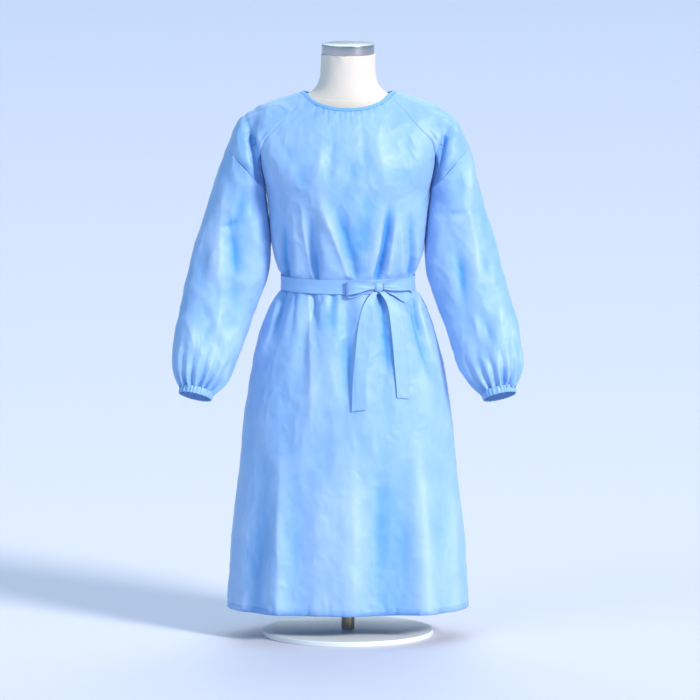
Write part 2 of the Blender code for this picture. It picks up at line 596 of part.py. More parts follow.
def share_normals(cloths):
    """Pieces that meet at a seam take one normal there, so that their inner sides meet too.

    Near the underarm body and sleeve fold sharply together: there it is turned out of the
    fold, and at the underarm itself the body and the arm keep each their own."""
    spots = []
    for cloth in cloths:
        for row, points in enumerate(cloth.points):
            spots += [(cloth, row, i, point) for i, point in enumerate(points)]
    tree = kdtree.KDTree(len(spots))
    for i, spot in enumerate(spots):
        tree.insert(spot[3], i)
    tree.balance()
    found = []
    for cloth, row, i, point in spots:
        near = [spots[k] for _, k, _ in tree.find_range(point, 1e-5)]
        normal = sum(c.normals[r][j] for c, r, j, _ in near)
        if len(near) > 1:
            away = from_underarm(point)[0]
            in_fold = ease((FOLD_REACH - away) / UNDERARM_REACH)
            outward = vec(0.0, np.sign(point[1]) * in_fold, 0.0)
            share = ease(1.0 - away / UNDERARM_REACH)
            on_body = cloth.lean == BODY_LEAN
            same = [spot for spot in near if (spot[0].lean == BODY_LEAN) == on_body]
            own = sum(c.normals[r][j] for c, r, j, _ in same)
            normal = (1.0 - share) * unit(normal + outward) + share * unit(own)
        found.append(unit(normal))
    for (cloth, row, i, _), normal in zip(spots, found):
        cloth.normals[row][i] = normal


def grid(surface, columns, rows):
    """A surface read at each row and column, as a list of rows."""
    columns, rows = np.meshgrid(columns, rows)
    points, normals = surface(columns, rows)
    return list(zip(points, normals))


# The pieces of the gown


def yoke_and_skirt_levels():
    below = (UNDERARM_Z - np.array(SKIRT_ROWS)) / (UNDERARM_Z - HEM_Z)
    return np.concatenate([YOKE_ROWS, 1.0 + below])


def sleeve_rows(side):
    coarse = np.arange(SLEEVE_TURNS) / SLEEVE_TURNS
    fine = np.arange(4 * GATHERS) / (4 * GATHERS)
    rows = grid(lambda turn, way: sleeve(side, turn, way), coarse, SLEEVE_COARSE_ROWS)
    return rows + grid(lambda turn, way: sleeve(side, turn, way), fine, SLEEVE_FINE_ROWS)


def gown_cloths():
    down = yoke_and_skirt_levels()
    front = np.linspace(-1.0, 1.0, FRONT_COLUMNS + 1)
    half = np.linspace(0.0, 1.0, BACK_COLUMNS + 1)
    over = np.arange(SLEEVE_TURNS + 1) / SLEEVE_TURNS
    rows = grid(lambda a, b: panel(-1, a, b), front, down)
    cloths = [Cloth("front", rows, BODY_LEAN, bottom=False)]
    for name, side in SLEEVE_SIDES:
        rows = grid(lambda a, b: back_half(side, a, b), half, down)
        cloths.append(Cloth("back_" + name, rows, BODY_LEAN, bottom=False, sides=SEAM_SIDE))
        rows = grid(lambda a, b: cap(side, a, b), over, YOKE_ROWS)
        cloths.append(Cloth("shoulder_" + name, rows, SHOULDER_LEAN))
        cloths.append(Cloth("sleeve_" + name, sleeve_rows(side), SLEEVE_LEAN, wrap=True))
    share_normals(cloths)
    return cloths


def sleeve_end(side):
    """The middle of a sleeve's end, and the directions outward, forward and down the arm."""
    arm = "left" if side < 0 else "right"
    middle = vec(SLEEVE[arm + "_x"][-1], -SLEEVE["out"][-1], SLEEVE["z"][-1])
    tilt, lean = np.radians([SLEEVE["tilt"][-1], SLEEVE["lean"][-1]])
    outward = vec(math.cos(tilt), 0.0, math.sin(tilt))
    forward = vec(0.0, -math.cos(lean), math.sin(lean))
    down = np.cross(outward, forward)
    mirror = vec(side, 1.0, 1.0)
    return middle * mirror, outward * mirror, forward * mirror, down * mirror


def cuff(name, side):
    """A ribbed elastic band at the end of a sleeve."""
    middle, outward, forward, down = sleeve_end(side)
    turns = 4 * CUFF_RIBS
    angle = 2 * math.pi * np.arange(turns) / turns
    ring = np.cos(angle)[:, None] * outward + np.sin(angle)[:, None] * forward
    rows = []
    for share, swell in CUFF_SWELLS:
        along = SEAM_GAP + share * CUFF_LENGTH
        radius = CUFF_RADIUS + swell + CUFF_RIB_DEPTH * np.cos(CUFF_RIBS * angle)
        rows.append((middle + down * along + ring * radius[:, None], ring))
    return Cloth("cuff_" + name, rows, wrap=True, top=False, bottom=False)


def neck_path(level):
    """The neckline at a level, from the under layer's free edge round by the front to the other."""
    level = np.array([[level]])
    back_steps, over_steps, front_steps = NECK_STEPS
    half = np.linspace(0.0, 1.0, back_steps + 1)[None, :]
    over = np.linspace(0.0, 1.0, over_steps + 1)[None, 1:-1]
    front = np.linspace(-1.0, 1.0, front_steps + 1)[None, :]
    stretches = [[s[0][::-1] for s in back_half(1, half, level + 0 * half)]]
    stretches.append([s[0][::-1] for s in cap(1, over, level)])
    stretches.append([s[0][::-1] for s in panel(-1, front, level)])
    stretches.append([s[0] for s in cap(-1, over, level)])
    stretches.append([s[0] for s in back_half(-1, half, level + 0 * half)])
    points, normals = (np.concatenate([s[k] for s in stretches]) for k in (0, 1))
    smooth = normals.copy()
    smooth[1:-1] += normals[:-2] + normals[2:]
    return points, unit(smooth)


def neck_binding():
    rows = []
    for level, out in BINDING_ROWS:
        points, normals = neck_path(level)
        rows.append((points + normals * out, normals))
    return Cloth("neck_binding", rows, top=False, bottom=False, sides=())


# The belt and its bow


def waist(face, x, z, out):
    """Points and normals on the front or back, at given x and height, moved out."""
    x, z, out = (a.astype(float) for a in np.broadcast_arrays(x, z, out))
    level = 1.0 + (UNDERARM_Z - z) / (UNDERARM_Z - HEM_Z)
    steps = np.linspace(-1.0, 1.0, 121)
    across = np.empty(x.shape)
    for place in np.ndindex(x.shape):
        across[place] = np.interp(x[place], panel_base(face, steps, level[place])[:, 0], steps)
    normal = face * normals_of(lambda a, b: panel_base(face, a, b), across, level)
    return panel_base(face, across, level) + normal * out[..., None], normal


def belt():
    """The band round the waist, just clear of the cloth that it gathers."""
    front = np.linspace(-1.0, 1.0, FRONT_COLUMNS + 1)
    behind = front[::-1][1:-1]
    start, width = BELT_LIFT_AT
    rows = []
    for z in BELT_ROWS:
        level = 1.0 + (UNDERARM_Z - z) / (UNDERARM_Z - HEM_Z)
        points = []
        normals = []
        for face, across in ((-1, front), (1, behind)):
            base = panel_base(face, across, level)
            normal = face * normals_of(lambda a, b: panel_base(face, a, b), across, level + 0 * across)
            lift = np.full(len(across), FOLDED + BELT_CLEAR)
            if face > 0:
                lift += 0.5 * OVERLAP_LIFT * ease((start - np.abs(base[:, 0])) / width)
            points.append(base + normal * lift[:, None])
            normals.append(normal)
        rows.append((np.concatenate(points), np.concatenate(normals)))
    return Cloth("belt", rows, wrap=True, top=False, bottom=False)


def belt_tail(name, rows):
    """A free end of the belt, hanging down the front of the skirt."""
    made = []
    for i in range(len(rows["z"])):
        x = rows["x"][i] + BAND_SHARES * rows["half"][i]
        z = rows["z"][i] + BAND_SHARES * rows["slant"][i]
        cup = rows["cup"][i] * BAND_SHARES**2
        made.append(waist(-1, x, z, FOLDED + rows["out"][i] + cup))
    return Cloth(name, made, top=False, bottom=False, sides=())


def bow_loop(name, rows):
    """A loop of the bow: a band that leaves the knot, turns back and comes in behind itself."""
    at = np.linspace(0.0, rows["step"][-1], LOOP_STEPS)
    x, z, out, half = (through(rows["step"], rows[c], at) for c in ("x", "z", "out", "half"))
    made = []
    for i in range(LOOP_STEPS):
        point, _ = waist(-1, x[i], z[i] + half[i] * BAND_SHARES, out[i])
        made.append(point)
    made = np.array(made)
    along = np.gradient(made, axis=0)
    across = np.gradient(made, axis=1)
    normal = unit(np.cross(across, along)) * rows["turn"][0]
    return Cloth(name, list(zip(made, normal)), top=False, bottom=False, sides=())


def bow_knot():
    """The knot: a soft pillow with the creases of the cloth that crosses it."""
    middle, normal = waist(-1, KNOT_X, BELT_Z, KNOT_OUT)
    sideways = unit(np.cross(vec(0.0, 0.0, 1.0), normal))
    upward = np.cross(normal, sideways)
    deep, often, start = KNOT_GROOVES
    points = []
    for j in range(KNOT_RINGS):
        lean = math.pi * (j + 0.5) / KNOT_RINGS - math.pi / 2
        for i in range(KNOT_TURNS):
            angle = 2 * math.pi * i / KNOT_TURNS
            across, up = (
                math.copysign(abs(side) ** KNOT_SQUARE, side) * math.cos(lean)
                for side in (math.cos(angle), math.sin(angle))
            )
            groove = 1.0 - deep * math.cos(often * across + start) * math.cos(lean)
            points.append(
                middle
                + sideways * KNOT_HALF[0] * across * (1.0 - KNOT_WAIST * up * up)
                + upward * KNOT_HALF[1] * up
                + normal * KNOT_HALF[2] * math.sin(lean) * groove
            )
    rows = [[j * KNOT_TURNS + i for i in range(KNOT_TURNS)] for j in range(KNOT_RINGS)]
    faces = join_rows(rows, True) + [rows[0][::-1], rows[-1]]
    return points, faces


# The dress form


def form_torso():
    """The covered torso with its neck and a flat foot, in rings from the foot up."""
    at = np.concatenate([np.linspace(*stretch) for stretch in FORM_STRETCHES])
    front_y, front_z, side_x, side_z, back_y, back_z = (
        read(FORM, "ring", c, at)
        for c in ("front_out", "front_z", "side_x", "side_z", "back_out", "back_z")
    )
    share = np.linspace(0.0, 1.0, FORM_TURNS // 4 + 1)
    points = []
    for i in range(len(at)):
        side = vec(side_x[i], 0.0, side_z[i])
        quarters = []
        for face, depth, z in ((-1, front_y[i], front_z[i]), (1, back_y[i], back_z[i])):
            middle = vec(0.0, face * depth, z)
            leave = vec(QUARTER * side_x[i], 0.0, 0.0)
            arrive = vec(0.0, -face * QUARTER * depth, 0.0)
            quarters.append(hermite(middle, side, leave, arrive, share))
        right = np.concatenate([quarters[0][:-1], quarters[1][::-1]])
        left = (right * vec(-1.0, 1.0, 1.0))[::-1][1:-1]
        points.append(np.concatenate([right, left]))
    turns = len(points[0])
    rows = [[j * turns + i for i in range(turns)] for j in range(len(points))]
    faces = join_rows(rows, True) + [rows[0][::-1], rows[-1]]
    return np.concatenate(points), faces


def turned(profile, turns):
    """A solid turned round the upright axis, from radius and height pairs up its outside."""
    points = []
    for radius, z in profile:
        for i in range(turns):
            angle = 2 * math.pi * i / turns
            points.append((radius * math.cos(angle), radius * math.sin(angle), z))
    rows = [[j * turns + i for i in range(turns)] for j in range(len(profile))]
    return points, join_rows(rows, True) + [rows[0][::-1], rows[-1]]


def disc(radius, low, high, bevel, turns):
    """A turned disc or rod with rounded edges."""
    steps = [math.pi / 2 * k / 2 for k in range(3)]
    inner = radius - bevel
    lower = [(inner + bevel * math.sin(a), low + bevel - bevel * math.cos(a)) for a in steps]
    upper = [(inner + bevel * math.cos(a), high - bevel + bevel * math.sin(a)) for a in steps]
    return turned(lower + upper, turns)


def empty(name):
    made = bpy.data.objects.new(name, None)
    bpy.context.collection.objects.link(made)
    return made


def main():
    for old in list(bpy.data.objects):
        bpy.data.objects.remove(old, do_unlink=True)
    gown = empty("gown")
    form = empty("dress_form")
    for cloth in gown_cloths():
        cloth.solid(CLOTH, GOWN_BLUE, gown)
    bands = [cuff(name, side) for name, side in SLEEVE_SIDES]
    bands += [belt(), belt_tail("belt_tail_left", TAIL_LEFT), belt_tail("belt_tail_right", TAIL_RIGHT)]
    bands += [bow_loop("bow_loop_left", LOOP_LEFT), bow_loop("bow_loop_right", LOOP_RIGHT)]
    for band in bands:
        band.solid(FOLDED, GOWN_BLUE, gown)
    neck_binding().solid(BINDING_WALL, BINDING_BLUE, gown)
    add_object("bow_knot", *bow_knot(), GOWN_BLUE, gown)
    add_object("form_torso", *form_torso(), FORM_COVER, form)
    cap_foot = NECK_TOP + SEAM_GAP
    pole_foot = BASE_THICKNESS + SEAM_GAP
    cap = disc(CAP_RADIUS, cap_foot, cap_foot + CAP_HEIGHT, CAP_BEVEL, CAP_TURNS)
    pole = disc(POLE_RADIUS, pole_foot, FORM_FOOT - SEAM_GAP, POLE_BEVEL, POLE_TURNS)
    add_object("neck_cap", *cap, STEEL, form)
    add_object("pole", *pole, STEEL, form)
    add_object("base_plate", *disc(BASE_RADIUS, 0.0, BASE_THICKNESS, BASE_BEVEL, BASE_TURNS), PAINT, form)


main()
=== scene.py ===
# %% [markdown]
# A hospital gown on a dress form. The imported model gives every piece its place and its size, and
# this script gives the pieces their looks. It starts with the frame, because all that follows is
# measured from it, and it clears the objects that a new Blender file holds.

# %% Load the frame
import json
import math
from itertools import product

import bmesh
import bpy
import numpy as np
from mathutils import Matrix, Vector

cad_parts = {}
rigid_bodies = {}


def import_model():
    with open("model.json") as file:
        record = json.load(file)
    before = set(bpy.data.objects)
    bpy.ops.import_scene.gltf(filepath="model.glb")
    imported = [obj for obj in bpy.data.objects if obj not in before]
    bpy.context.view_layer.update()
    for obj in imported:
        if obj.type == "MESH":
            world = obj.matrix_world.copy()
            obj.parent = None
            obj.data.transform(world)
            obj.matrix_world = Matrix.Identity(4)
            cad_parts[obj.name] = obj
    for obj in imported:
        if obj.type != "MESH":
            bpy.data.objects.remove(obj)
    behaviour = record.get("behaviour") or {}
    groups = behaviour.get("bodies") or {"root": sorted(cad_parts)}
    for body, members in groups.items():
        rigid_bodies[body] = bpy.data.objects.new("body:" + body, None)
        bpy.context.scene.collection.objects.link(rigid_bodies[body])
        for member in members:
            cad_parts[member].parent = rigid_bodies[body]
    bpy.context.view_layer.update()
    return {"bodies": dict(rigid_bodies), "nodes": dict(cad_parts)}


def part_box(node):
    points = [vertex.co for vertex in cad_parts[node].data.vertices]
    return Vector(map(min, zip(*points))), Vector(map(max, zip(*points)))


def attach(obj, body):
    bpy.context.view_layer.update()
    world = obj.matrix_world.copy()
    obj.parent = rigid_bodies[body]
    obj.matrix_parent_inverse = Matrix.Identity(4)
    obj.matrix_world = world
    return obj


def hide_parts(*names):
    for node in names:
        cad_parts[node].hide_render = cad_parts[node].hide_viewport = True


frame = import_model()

kept = set(frame["nodes"].values()) | set(frame["bodies"].values())
for other in list(bpy.data.objects):
    if other not in kept:
        bpy.data.objects.remove(other)

# %% [markdown]
# The camera stands far away with a very long lens, as product pictures are often taken, so that
# the gown shows almost without perspective. Its height above the level line and the width of the
# picture come from the photograph: the hem's curve gives the angle, and the belt, the cuffs and
# the length of the gown give the scale. Blender's default view transform greys a clear pale blue,
# so this picture is shown by the plain one.

# %% Camera
CAMERA_DISTANCE = 25.0
CAMERA_RISE = math.radians(7.7)
PICTURE_WIDTH = 1.5556  # metres across the picture, at the gown
SENSOR = 36.0
AIM = Vector((0.0044, 0.0, 0.6388))

camera_data = bpy.data.cameras.new("camera")
camera_data.sensor_width = SENSOR
camera_data.lens = SENSOR * CAMERA_DISTANCE / PICTURE_WIDTH
camera_data.clip_end = 4 * CAMERA_DISTANCE
camera = bpy.data.objects.new("camera", camera_data)
bpy.context.collection.objects.link(camera)
back_along = Vector((0.0, -math.cos(CAMERA_RISE), math.sin(CAMERA_RISE)))
camera.location = AIM + back_along * CAMERA_DISTANCE
camera.rotation_euler = (-back_along).to_track_quat("-Z", "Y").to_euler()
bpy.context.scene.camera = camera
bpy.context.scene.view_settings.view_transform = "Standard"
print("lens", round(camera_data.lens), "mm")

# %% [markdown]
# A studio picture of pale cloth needs soft light from a large source, so that folds shade
# gradually. A sun lamp with a wide angle works as such a source, and it lights a large floor
# evenly. The main one stands on the right, is a little warm and draws the folds, a weak one fills
# the left, and a third lifts the back. A blue sky all round reaches what the main lamp doesn't, so
# the shaded sides of the folds turn bluer and not just darker. The floor is one wide plane that
# runs far behind the gown, and its colour darkens with distance as painted shade, so no horizon shows.

# %% Floor and light
FLOOR_HALF = 60.0
FLOOR_COLOUR = (0.680, 0.665, 0.770)
# Far behind the gown the floor darkens to this colour, a painted shade.
FLOOR_FAR_PAINTED_SHADE = (0.450, 0.495, 0.650)
FLOOR_PAINTED_SHADE_DISTANCE = 14.0  # metres behind the gown where the far colour is reached
SKY_COLOUR = (0.36, 0.72, 1.0)
SKY_STRENGTH = 0.52
LIGHTS = (
    # name, turn to the right of the front, height above the horizon, width (degrees), strength, colour
    ("key_light", 46.0, 30.0, 14.0, 3.4, (1.0, 0.94, 0.88)),
    ("fill_light", -44.0, 34.0, 40.0, 0.55, (0.88, 0.93, 1.0)),
    ("back_light", 170.0, 40.0, 60.0, 1.4, (0.95, 0.98, 1.0)),
)


def soft_sun(name, turn, height, width, strength, colour):
    data = bpy.data.lights.new(name, "SUN")
    data.angle = math.radians(width)
    data.energy = strength
    data.color = colour
    made = bpy.data.objects.new(name, data)
    bpy.context.collection.objects.link(made)
    turn, height = math.radians(turn), math.radians(height)
    level = math.cos(height)
    towards = Vector((math.sin(turn) * level, -math.cos(turn) * level, math.sin(height)))
    made.location = AIM + 5.0 * towards
    made.rotation_euler = towards.to_track_quat("Z", "Y").to_euler()
    return made


for row in LIGHTS:
    soft_sun(*row)
world = bpy.data.worlds.new("studio")
world.use_nodes = True
world.node_tree.nodes["Background"].inputs["Color"].default_value = (*SKY_COLOUR, 1.0)
world.node_tree.nodes["Background"].inputs["Strength"].default_value = SKY_STRENGTH
bpy.context.scene.world = world

floor_mesh = bpy.data.meshes.new("floor")
corners = [(-FLOOR_HALF, -FLOOR_HALF, 0), (FLOOR_HALF, -FLOOR_HALF, 0)]
corners += [(FLOOR_HALF, FLOOR_HALF, 0), (-FLOOR_HALF, FLOOR_HALF, 0)]
floor_mesh.from_pydata(corners, [], [(0, 1, 2, 3)])
floor = bpy.data.objects.new("floor", floor_mesh)
bpy.context.collection.objects.link(floor)
print("lights:", [row[0] for row in LIGHTS])

# %% [markdown]
# Each cloth wall in the model is a closed solid with an outer side, an inner side and narrow rims.
# Thin cloth needs only the outer side. The rims are the faces with an edge as short as the wall
# is thick, so taking those away parts the two sides, and the larger one is the outside. Its
# triangles are then joined to squares, which subdivide far more evenly.

# %% From a solid to a cage of squares
WELD = 1e-5
RIM_MARGIN = 1.3  # a rim's edges are this much longer than the wall at most


def islands_of(work):
    """The separate groups of connected faces."""
    left = set(work.faces)
    islands = []
    while left:
        island = [left.pop()]
        for face in island:
            for edge in face.edges:
                for other in edge.link_faces:
                    if other in left:
                        left.remove(other)
                        island.append(other)
        islands.append(island)
    return islands


def cage_of(node, name, outside_only):
    """A new object with a node's welded squares, or only those of its outer side."""
    work = bmesh.new()
    work.from_mesh(frame["nodes"][node].data)
    bmesh.ops.remove_doubles(work, verts=work.verts, dist=WELD)
    if outside_only:
        wall = min(edge.calc_length() for edge in work.edges)
        limit = RIM_MARGIN * wall
        rim = [face for face in work.faces if min(e.calc_length() for e in face.edges) < limit]
        bmesh.ops.delete(work, geom=rim, context="FACES")
        sides = sorted(islands_of(work), key=lambda faces: -sum(f.calc_area() for f in faces))
        inner = [face for island in sides[1:] for face in island]
        bmesh.ops.delete(work, geom=inner, context="FACES")
    bmesh.ops.join_triangles(
        work, faces=work.faces, angle_face_threshold=math.pi, angle_shape_threshold=math.pi
    )
    mesh = bpy.data.meshes.new(name)
    work.to_mesh(mesh)
    work.free()
    for attribute in list(mesh.attributes):
        if attribute.name in ("sharp_face", "sharp_edge", "custom_normal"):
            mesh.attributes.remove(attribute)
    mesh.shade_smooth()
    made = bpy.data.objects.new(name, mesh)
    bpy.context.collection.objects.link(made)
    return made


print(len(frame["nodes"]), "solids to dress")

# %% [markdown]
# Points and normals are read into numpy arrays, so that a fold can be worked out for a hundred
# thousand points at once. Modifiers are applied by taking the mesh that Blender evaluates.

# %% Points, normals and applied modifiers
def points_of(mesh):
    flat = np.empty(len(mesh.vertices) * 3, np.float32)
    mesh.vertices.foreach_get("co", flat)
    return flat.reshape(-1, 3).astype(float)


def set_points(mesh, points):
    mesh.vertices.foreach_set("co", points.astype(np.float32).ravel())
    mesh.update()


def normals_of(mesh):
    flat = np.empty(len(mesh.vertices) * 3, np.float32)
    mesh.vertex_normals.foreach_get("vector", flat)
    return flat.reshape(-1, 3).astype(float)


def evaluated(piece):
    graph = bpy.context.evaluated_depsgraph_get()
    graph.update()
    return piece.evaluated_get(graph)


def apply_modifiers(piece):
    mesh = bpy.data.meshes.new_from_object(evaluated(piece))
    old = piece.data
    piece.modifiers.clear()
    piece.data = mesh
    bpy.data.meshes.remove(old)
    mesh.name = piece.name


print("the front's solid has", len(points_of(frame["nodes"]["front"].data)), "points")

# %% [markdown]
# Subdivision rounds a cage off and so shrinks it, which would loosen the fit of one piece on the
# next. Here the cage is first moved out by what the rounding takes away, a few times over, until
# the smooth surface passes through the points that the model gives.

# %% Subdivision through the model's own points
ROUNDS = 4


def subdivide_through(piece, level):
    fine = piece.modifiers.new("fine", "SUBSURF")
    fine.use_limit_surface = True
    fine.boundary_smooth = "PRESERVE_CORNERS"
    fine.levels = 1
    fine.render_levels = 1
    goal = points_of(piece.data)
    for _ in range(ROUNDS):
        reached = points_of(evaluated(piece).data)[: len(goal)]
        set_points(piece.data, points_of(piece.data) + goal - reached)
    fine.levels = level
    fine.render_levels = level
    apply_modifiers(piece)
    miss = np.abs(points_of(piece.data)[: len(goal)] - goal).max()
    print(piece.name, len(piece.data.polygons), "faces, misses by", round(miss * 1000, 2), "mm")


# %% [markdown]
# Light nonwoven cloth never hangs quite smooth: handling leaves soft dents a few centimetres wide
# and here and there a crisp little ridge. Both come from gradient noise, a smooth random field.
# It is worked out in the gown's own space, so two pieces that meet at a seam dent alike.

# %% Noise
LATTICE = 256
NOISE_GAIN = 1.6
SWIRL = np.array((6.0, -15.0, 10.0))  # the fade curve of gradient noise


def ease(x):
    x = np.clip(x, 0.0, 1.0)
    return x * x * (3.0 - 2.0 * x)


def soft_noise(points, size, seed):
    """Smooth noise, about -1 to 1, whose lumps are size across; size may differ along x, y, z."""
    random = np.random.RandomState(seed)
    slopes = random.normal(size=(LATTICE, 3))
    slopes /= np.linalg.norm(slopes, axis=1, keepdims=True)
    order = random.permutation(LATTICE)
    place = points / np.asarray(size, float)
    cell = np.floor(place).astype(int)
    inside = place - cell
    blend = inside**3 * (inside * (inside * SWIRL[0] + SWIRL[1]) + SWIRL[2])
    total = np.zeros(len(points))
    for corner in product((0, 1), repeat=3):
        offset = np.array(corner)
        i, j, k = ((cell + offset) % LATTICE).T
        pick = order[(order[(order[i] + j) % LATTICE] + k) % LATTICE]
        weight = np.prod(np.where(offset == 1, blend, 1.0 - blend), axis=1)
        total += weight * np.sum(slopes[pick] * (inside - offset), axis=1)
    return NOISE_GAIN * total


sample = soft_noise(np.random.RandomState(1).uniform(size=(2000, 3)), 0.1, 3)
print("noise runs from", round(sample.min(), 2), "to", round(sample.max(), 2))

# %% [markdown]
# The crumple is a sum of such noises. Three of them are soft dents of different sizes. A ridge
# comes where noise crosses zero: one minus its size is 1 along a thin line, and a power narrows the
# line. Long ridges keep to some areas and short ones to the rest, because cloth that has a sharp
# fold in it is otherwise drawn smooth.

# %% Crumple
DENTS = (
    # height, size of the lumps along x, y and z, in metres, and the noise's seed
    (0.0022, (0.085, 0.085, 0.140), 3),
    (0.0013, (0.036, 0.036, 0.058), 11),
    (0.00032, (0.013, 0.013, 0.013), 9),
)
RIDGED_AREA = 0.150  # how wide the areas with long ridges are
LONG_RIDGE_HEIGHT = 0.0022
SHORT_RIDGE_HEIGHT = 0.0012


def crisp_ridges(points, size, seed, sharpness):
    """Narrow ridges where smooth noise crosses zero, 0 to 1."""
    ridge = 1.0 - np.abs(soft_noise(points, size, seed))
    return np.clip(ridge, 0.0, 1.0) ** sharpness


def crumple(points):
    """Dents and crisp ridges of handled cloth; positive values push the cloth in."""
    depth = sum(height * soft_noise(points, size, seed) for height, size, seed in DENTS)
    ridged = ease(0.50 + 0.9 * soft_noise(points, RIDGED_AREA, 5))
    long_ridges = crisp_ridges(points, (0.070, 0.070, 0.100), 7, 5)
    short_ridges = crisp_ridges(points, (0.034, 0.034, 0.044), 13, 4)
    depth -= LONG_RIDGE_HEIGHT * ridged * long_ridges
    depth -= SHORT_RIDGE_HEIGHT * (1.0 - 0.6 * ridged) * short_ridges
    return depth


print("dents of", [round(1000 * height, 2) for height, _, _ in DENTS], "mm")

# %% [markdown]
# The main folds are placed one by one. A row of a table draws one crease on the gown as seen from the
# front: from its head to its foot, with a bow to one side, a width at each end, and how deep it is
# at the head, half way and at the foot, in millimetres. A negative depth is a ridge. Skew makes
# its left side wider than its right, and crisp goes from 0, a soft trough, to 1, a sharp crease.

# %% Creases
CREASE_COLUMNS = (
    "head_x head_z foot_x foot_z bow head_width foot_width head middle foot skew crisp".split()
)
END_FADE = 0.018  # metres over which a crease runs out past its ends
CRISPNESS = 1.4  # how steeply a sharp crease falls away from its line
FACING_GAIN = 1.6  # how fast a crease fades where the cloth turns to the side


def creases(*rows):
    return [dict(zip(CREASE_COLUMNS, row)) for row in rows]


def creased(points, normals, rows, face):
    """How far the listed creases push the cloth in, on the side that faces -Y or +Y."""
    x, z = points[:, 0], points[:, 2]
    depth = np.zeros(len(points))
    for row in rows:
        run_x, run_z = row["foot_x"] - row["head_x"], row["foot_z"] - row["head_z"]
        length = math.hypot(run_x, run_z)
        dx, dz = x - row["head_x"], z - row["head_z"]
        share = (dx * run_x + dz * run_z) / length**2
        held = np.clip(share, 0.0, 1.0)
        off = (dx * run_z - dz * run_x) / length + 4.0 * row["bow"] * held * (1.0 - held)
        width = row["head_width"] * (1.0 - held) + row["foot_width"] * held
        off = off / (width * (1.0 + row["skew"] * np.sign(off)))
        soft = np.exp(-(off**2))
        sharp = np.exp(-CRISPNESS * np.abs(off))
        upper = row["head"] + (row["middle"] - row["head"]) * ease(2.0 * held)
        lower = row["middle"] + (row["foot"] - row["middle"]) * ease(2.0 * held - 1.0)
        deep = 0.001 * np.where(held < 0.5, upper, lower)
        beyond = np.maximum(np.maximum(-share, share - 1.0), 0.0) * length
        shape = soft * (1.0 - row["crisp"]) + sharp * row["crisp"]
        depth += deep * shape * np.exp(-((beyond / END_FADE) ** 2))
    return depth * np.clip(0.5 + FACING_GAIN * face * normals[:, 1], 0.0, 1.0)


print("a crease has", len(CREASE_COLUMNS), "columns")

# %% [markdown]
# The bodice is full above and drawn in at the belt. Its folds fan up from the belt towards the
# bust, each light on one flank and dark on the other. Shorter and softer ones lie on the chest.
# Small puckers hang from the neckline, where the binding holds the cloth a little short, and a
# loop over two short lists places these, as no two are alike.

# %% Folds of the bodice's front
BODICE_FRONT = creases(
    (-0.103, 1.004, -0.079, 0.818, -0.004, 0.010, 0.007, 0.0, -2.8, -1.5, 0.2, 0.8),
    (-0.086, 0.985, -0.072, 0.818, -0.002, 0.014, 0.008, 0.0, 3.0, 4.0, -0.2, 0.2),
    (-0.076, 1.018, -0.002, 0.818, 0.003, 0.018, 0.010, 0.0, -4.6, -2.5, -0.2, 0.4),
    (-0.034, 0.985, 0.014, 0.826, 0.004, 0.024, 0.012, 1.0, 3.8, 3.0, -0.3, 0.2),
    (0.040, 0.985, 0.036, 0.830, 0.000, 0.026, 0.014, 1.2, 2.6, 1.5, 0.0, 0.0),
    (0.082, 1.002, 0.051, 0.820, 0.003, 0.014, 0.008, 0.0, -3.6, -2.0, 0.3, 0.4),
    (0.099, 1.004, 0.066, 0.818, 0.002, 0.010, 0.007, 0.0, 5.0, 5.0, 0.0, 0.4),
    (0.109, 1.000, 0.088, 0.820, 0.002, 0.008, 0.007, 0.0, -2.8, -2.0, -0.3, 0.6),
    (0.112, 0.968, 0.121, 0.826, 0.000, 0.008, 0.007, 0.0, -2.2, -1.5, 0.0, 0.6),
    (0.137, 0.985, 0.139, 0.820, 0.003, 0.009, 0.007, 0.0, 3.0, 4.0, -0.2, 0.3),
    (-0.141, 0.962, -0.137, 0.820, -0.002, 0.009, 0.007, 0.0, 3.0, 4.0, 0.2, 0.3),
    (-0.122, 0.975, -0.113, 0.824, 0.000, 0.011, 0.008, 0.0, -2.4, -2.0, 0.0, 0.5),
    (0.156, 0.930, 0.150, 0.822, 0.000, 0.008, 0.006, 0.0, -2.0, -1.5, 0.0, 0.6),
    (-0.158, 0.920, -0.151, 0.822, 0.000, 0.008, 0.006, 0.0, -1.8, -1.5, 0.0, 0.6),
    (0.004, 1.000, 0.003, 0.860, 0.000, 0.003, 0.003, 0.0, -0.6, 0.0, 0.0, 1.0),
    (-0.058, 1.135, -0.070, 1.008, 0.002, 0.012, 0.016, -0.4, -2.0, 0.0, 0.0, 0.3),
    (-0.034, 1.140, -0.040, 1.020, 0.000, 0.010, 0.014, 0.8, 1.6, 0.2, 0.0, 0.0),
    (0.012, 1.100, -0.004, 1.005, 0.003, 0.014, 0.014, 0.0, 1.2, 0.6, 0.0, 0.0),
    (0.034, 1.140, 0.042, 1.035, 0.000, 0.010, 0.014, 0.4, 1.4, 0.2, 0.0, 0.0),
    (0.062, 1.150, 0.088, 1.005, -0.003, 0.016, 0.018, -0.3, -1.8, -0.6, 0.0, 0.2),
    (-0.112, 1.085, -0.096, 0.998, 0.000, 0.014, 0.020, 0.3, 1.8, 0.0, 0.0, 0.0),
    (0.128, 1.100, 0.118, 1.000, 0.000, 0.014, 0.020, 0.3, 1.6, 0.0, 0.0, 0.0),
    (-0.150, 1.120, -0.118, 1.060, 0.000, 0.010, 0.010, 0.4, 1.6, 0.2, 0.0, 0.4),
    (0.126, 1.150, 0.158, 1.085, 0.000, 0.009, 0.009, -0.2, -1.0, 0.0, 0.0, 0.6),
)
PUCKER_PLACES = (
    -0.071, -0.055, -0.044, -0.031, -0.019, -0.009, 0.004, 0.013, 0.027, 0.042, 0.057, 0.074
)
PUCKER_REACH = (
    0.034, 0.022, 0.040, 0.020, 0.030, 0.024, 0.036, 0.018, 0.030, 0.024, 0.034, 0.020
)
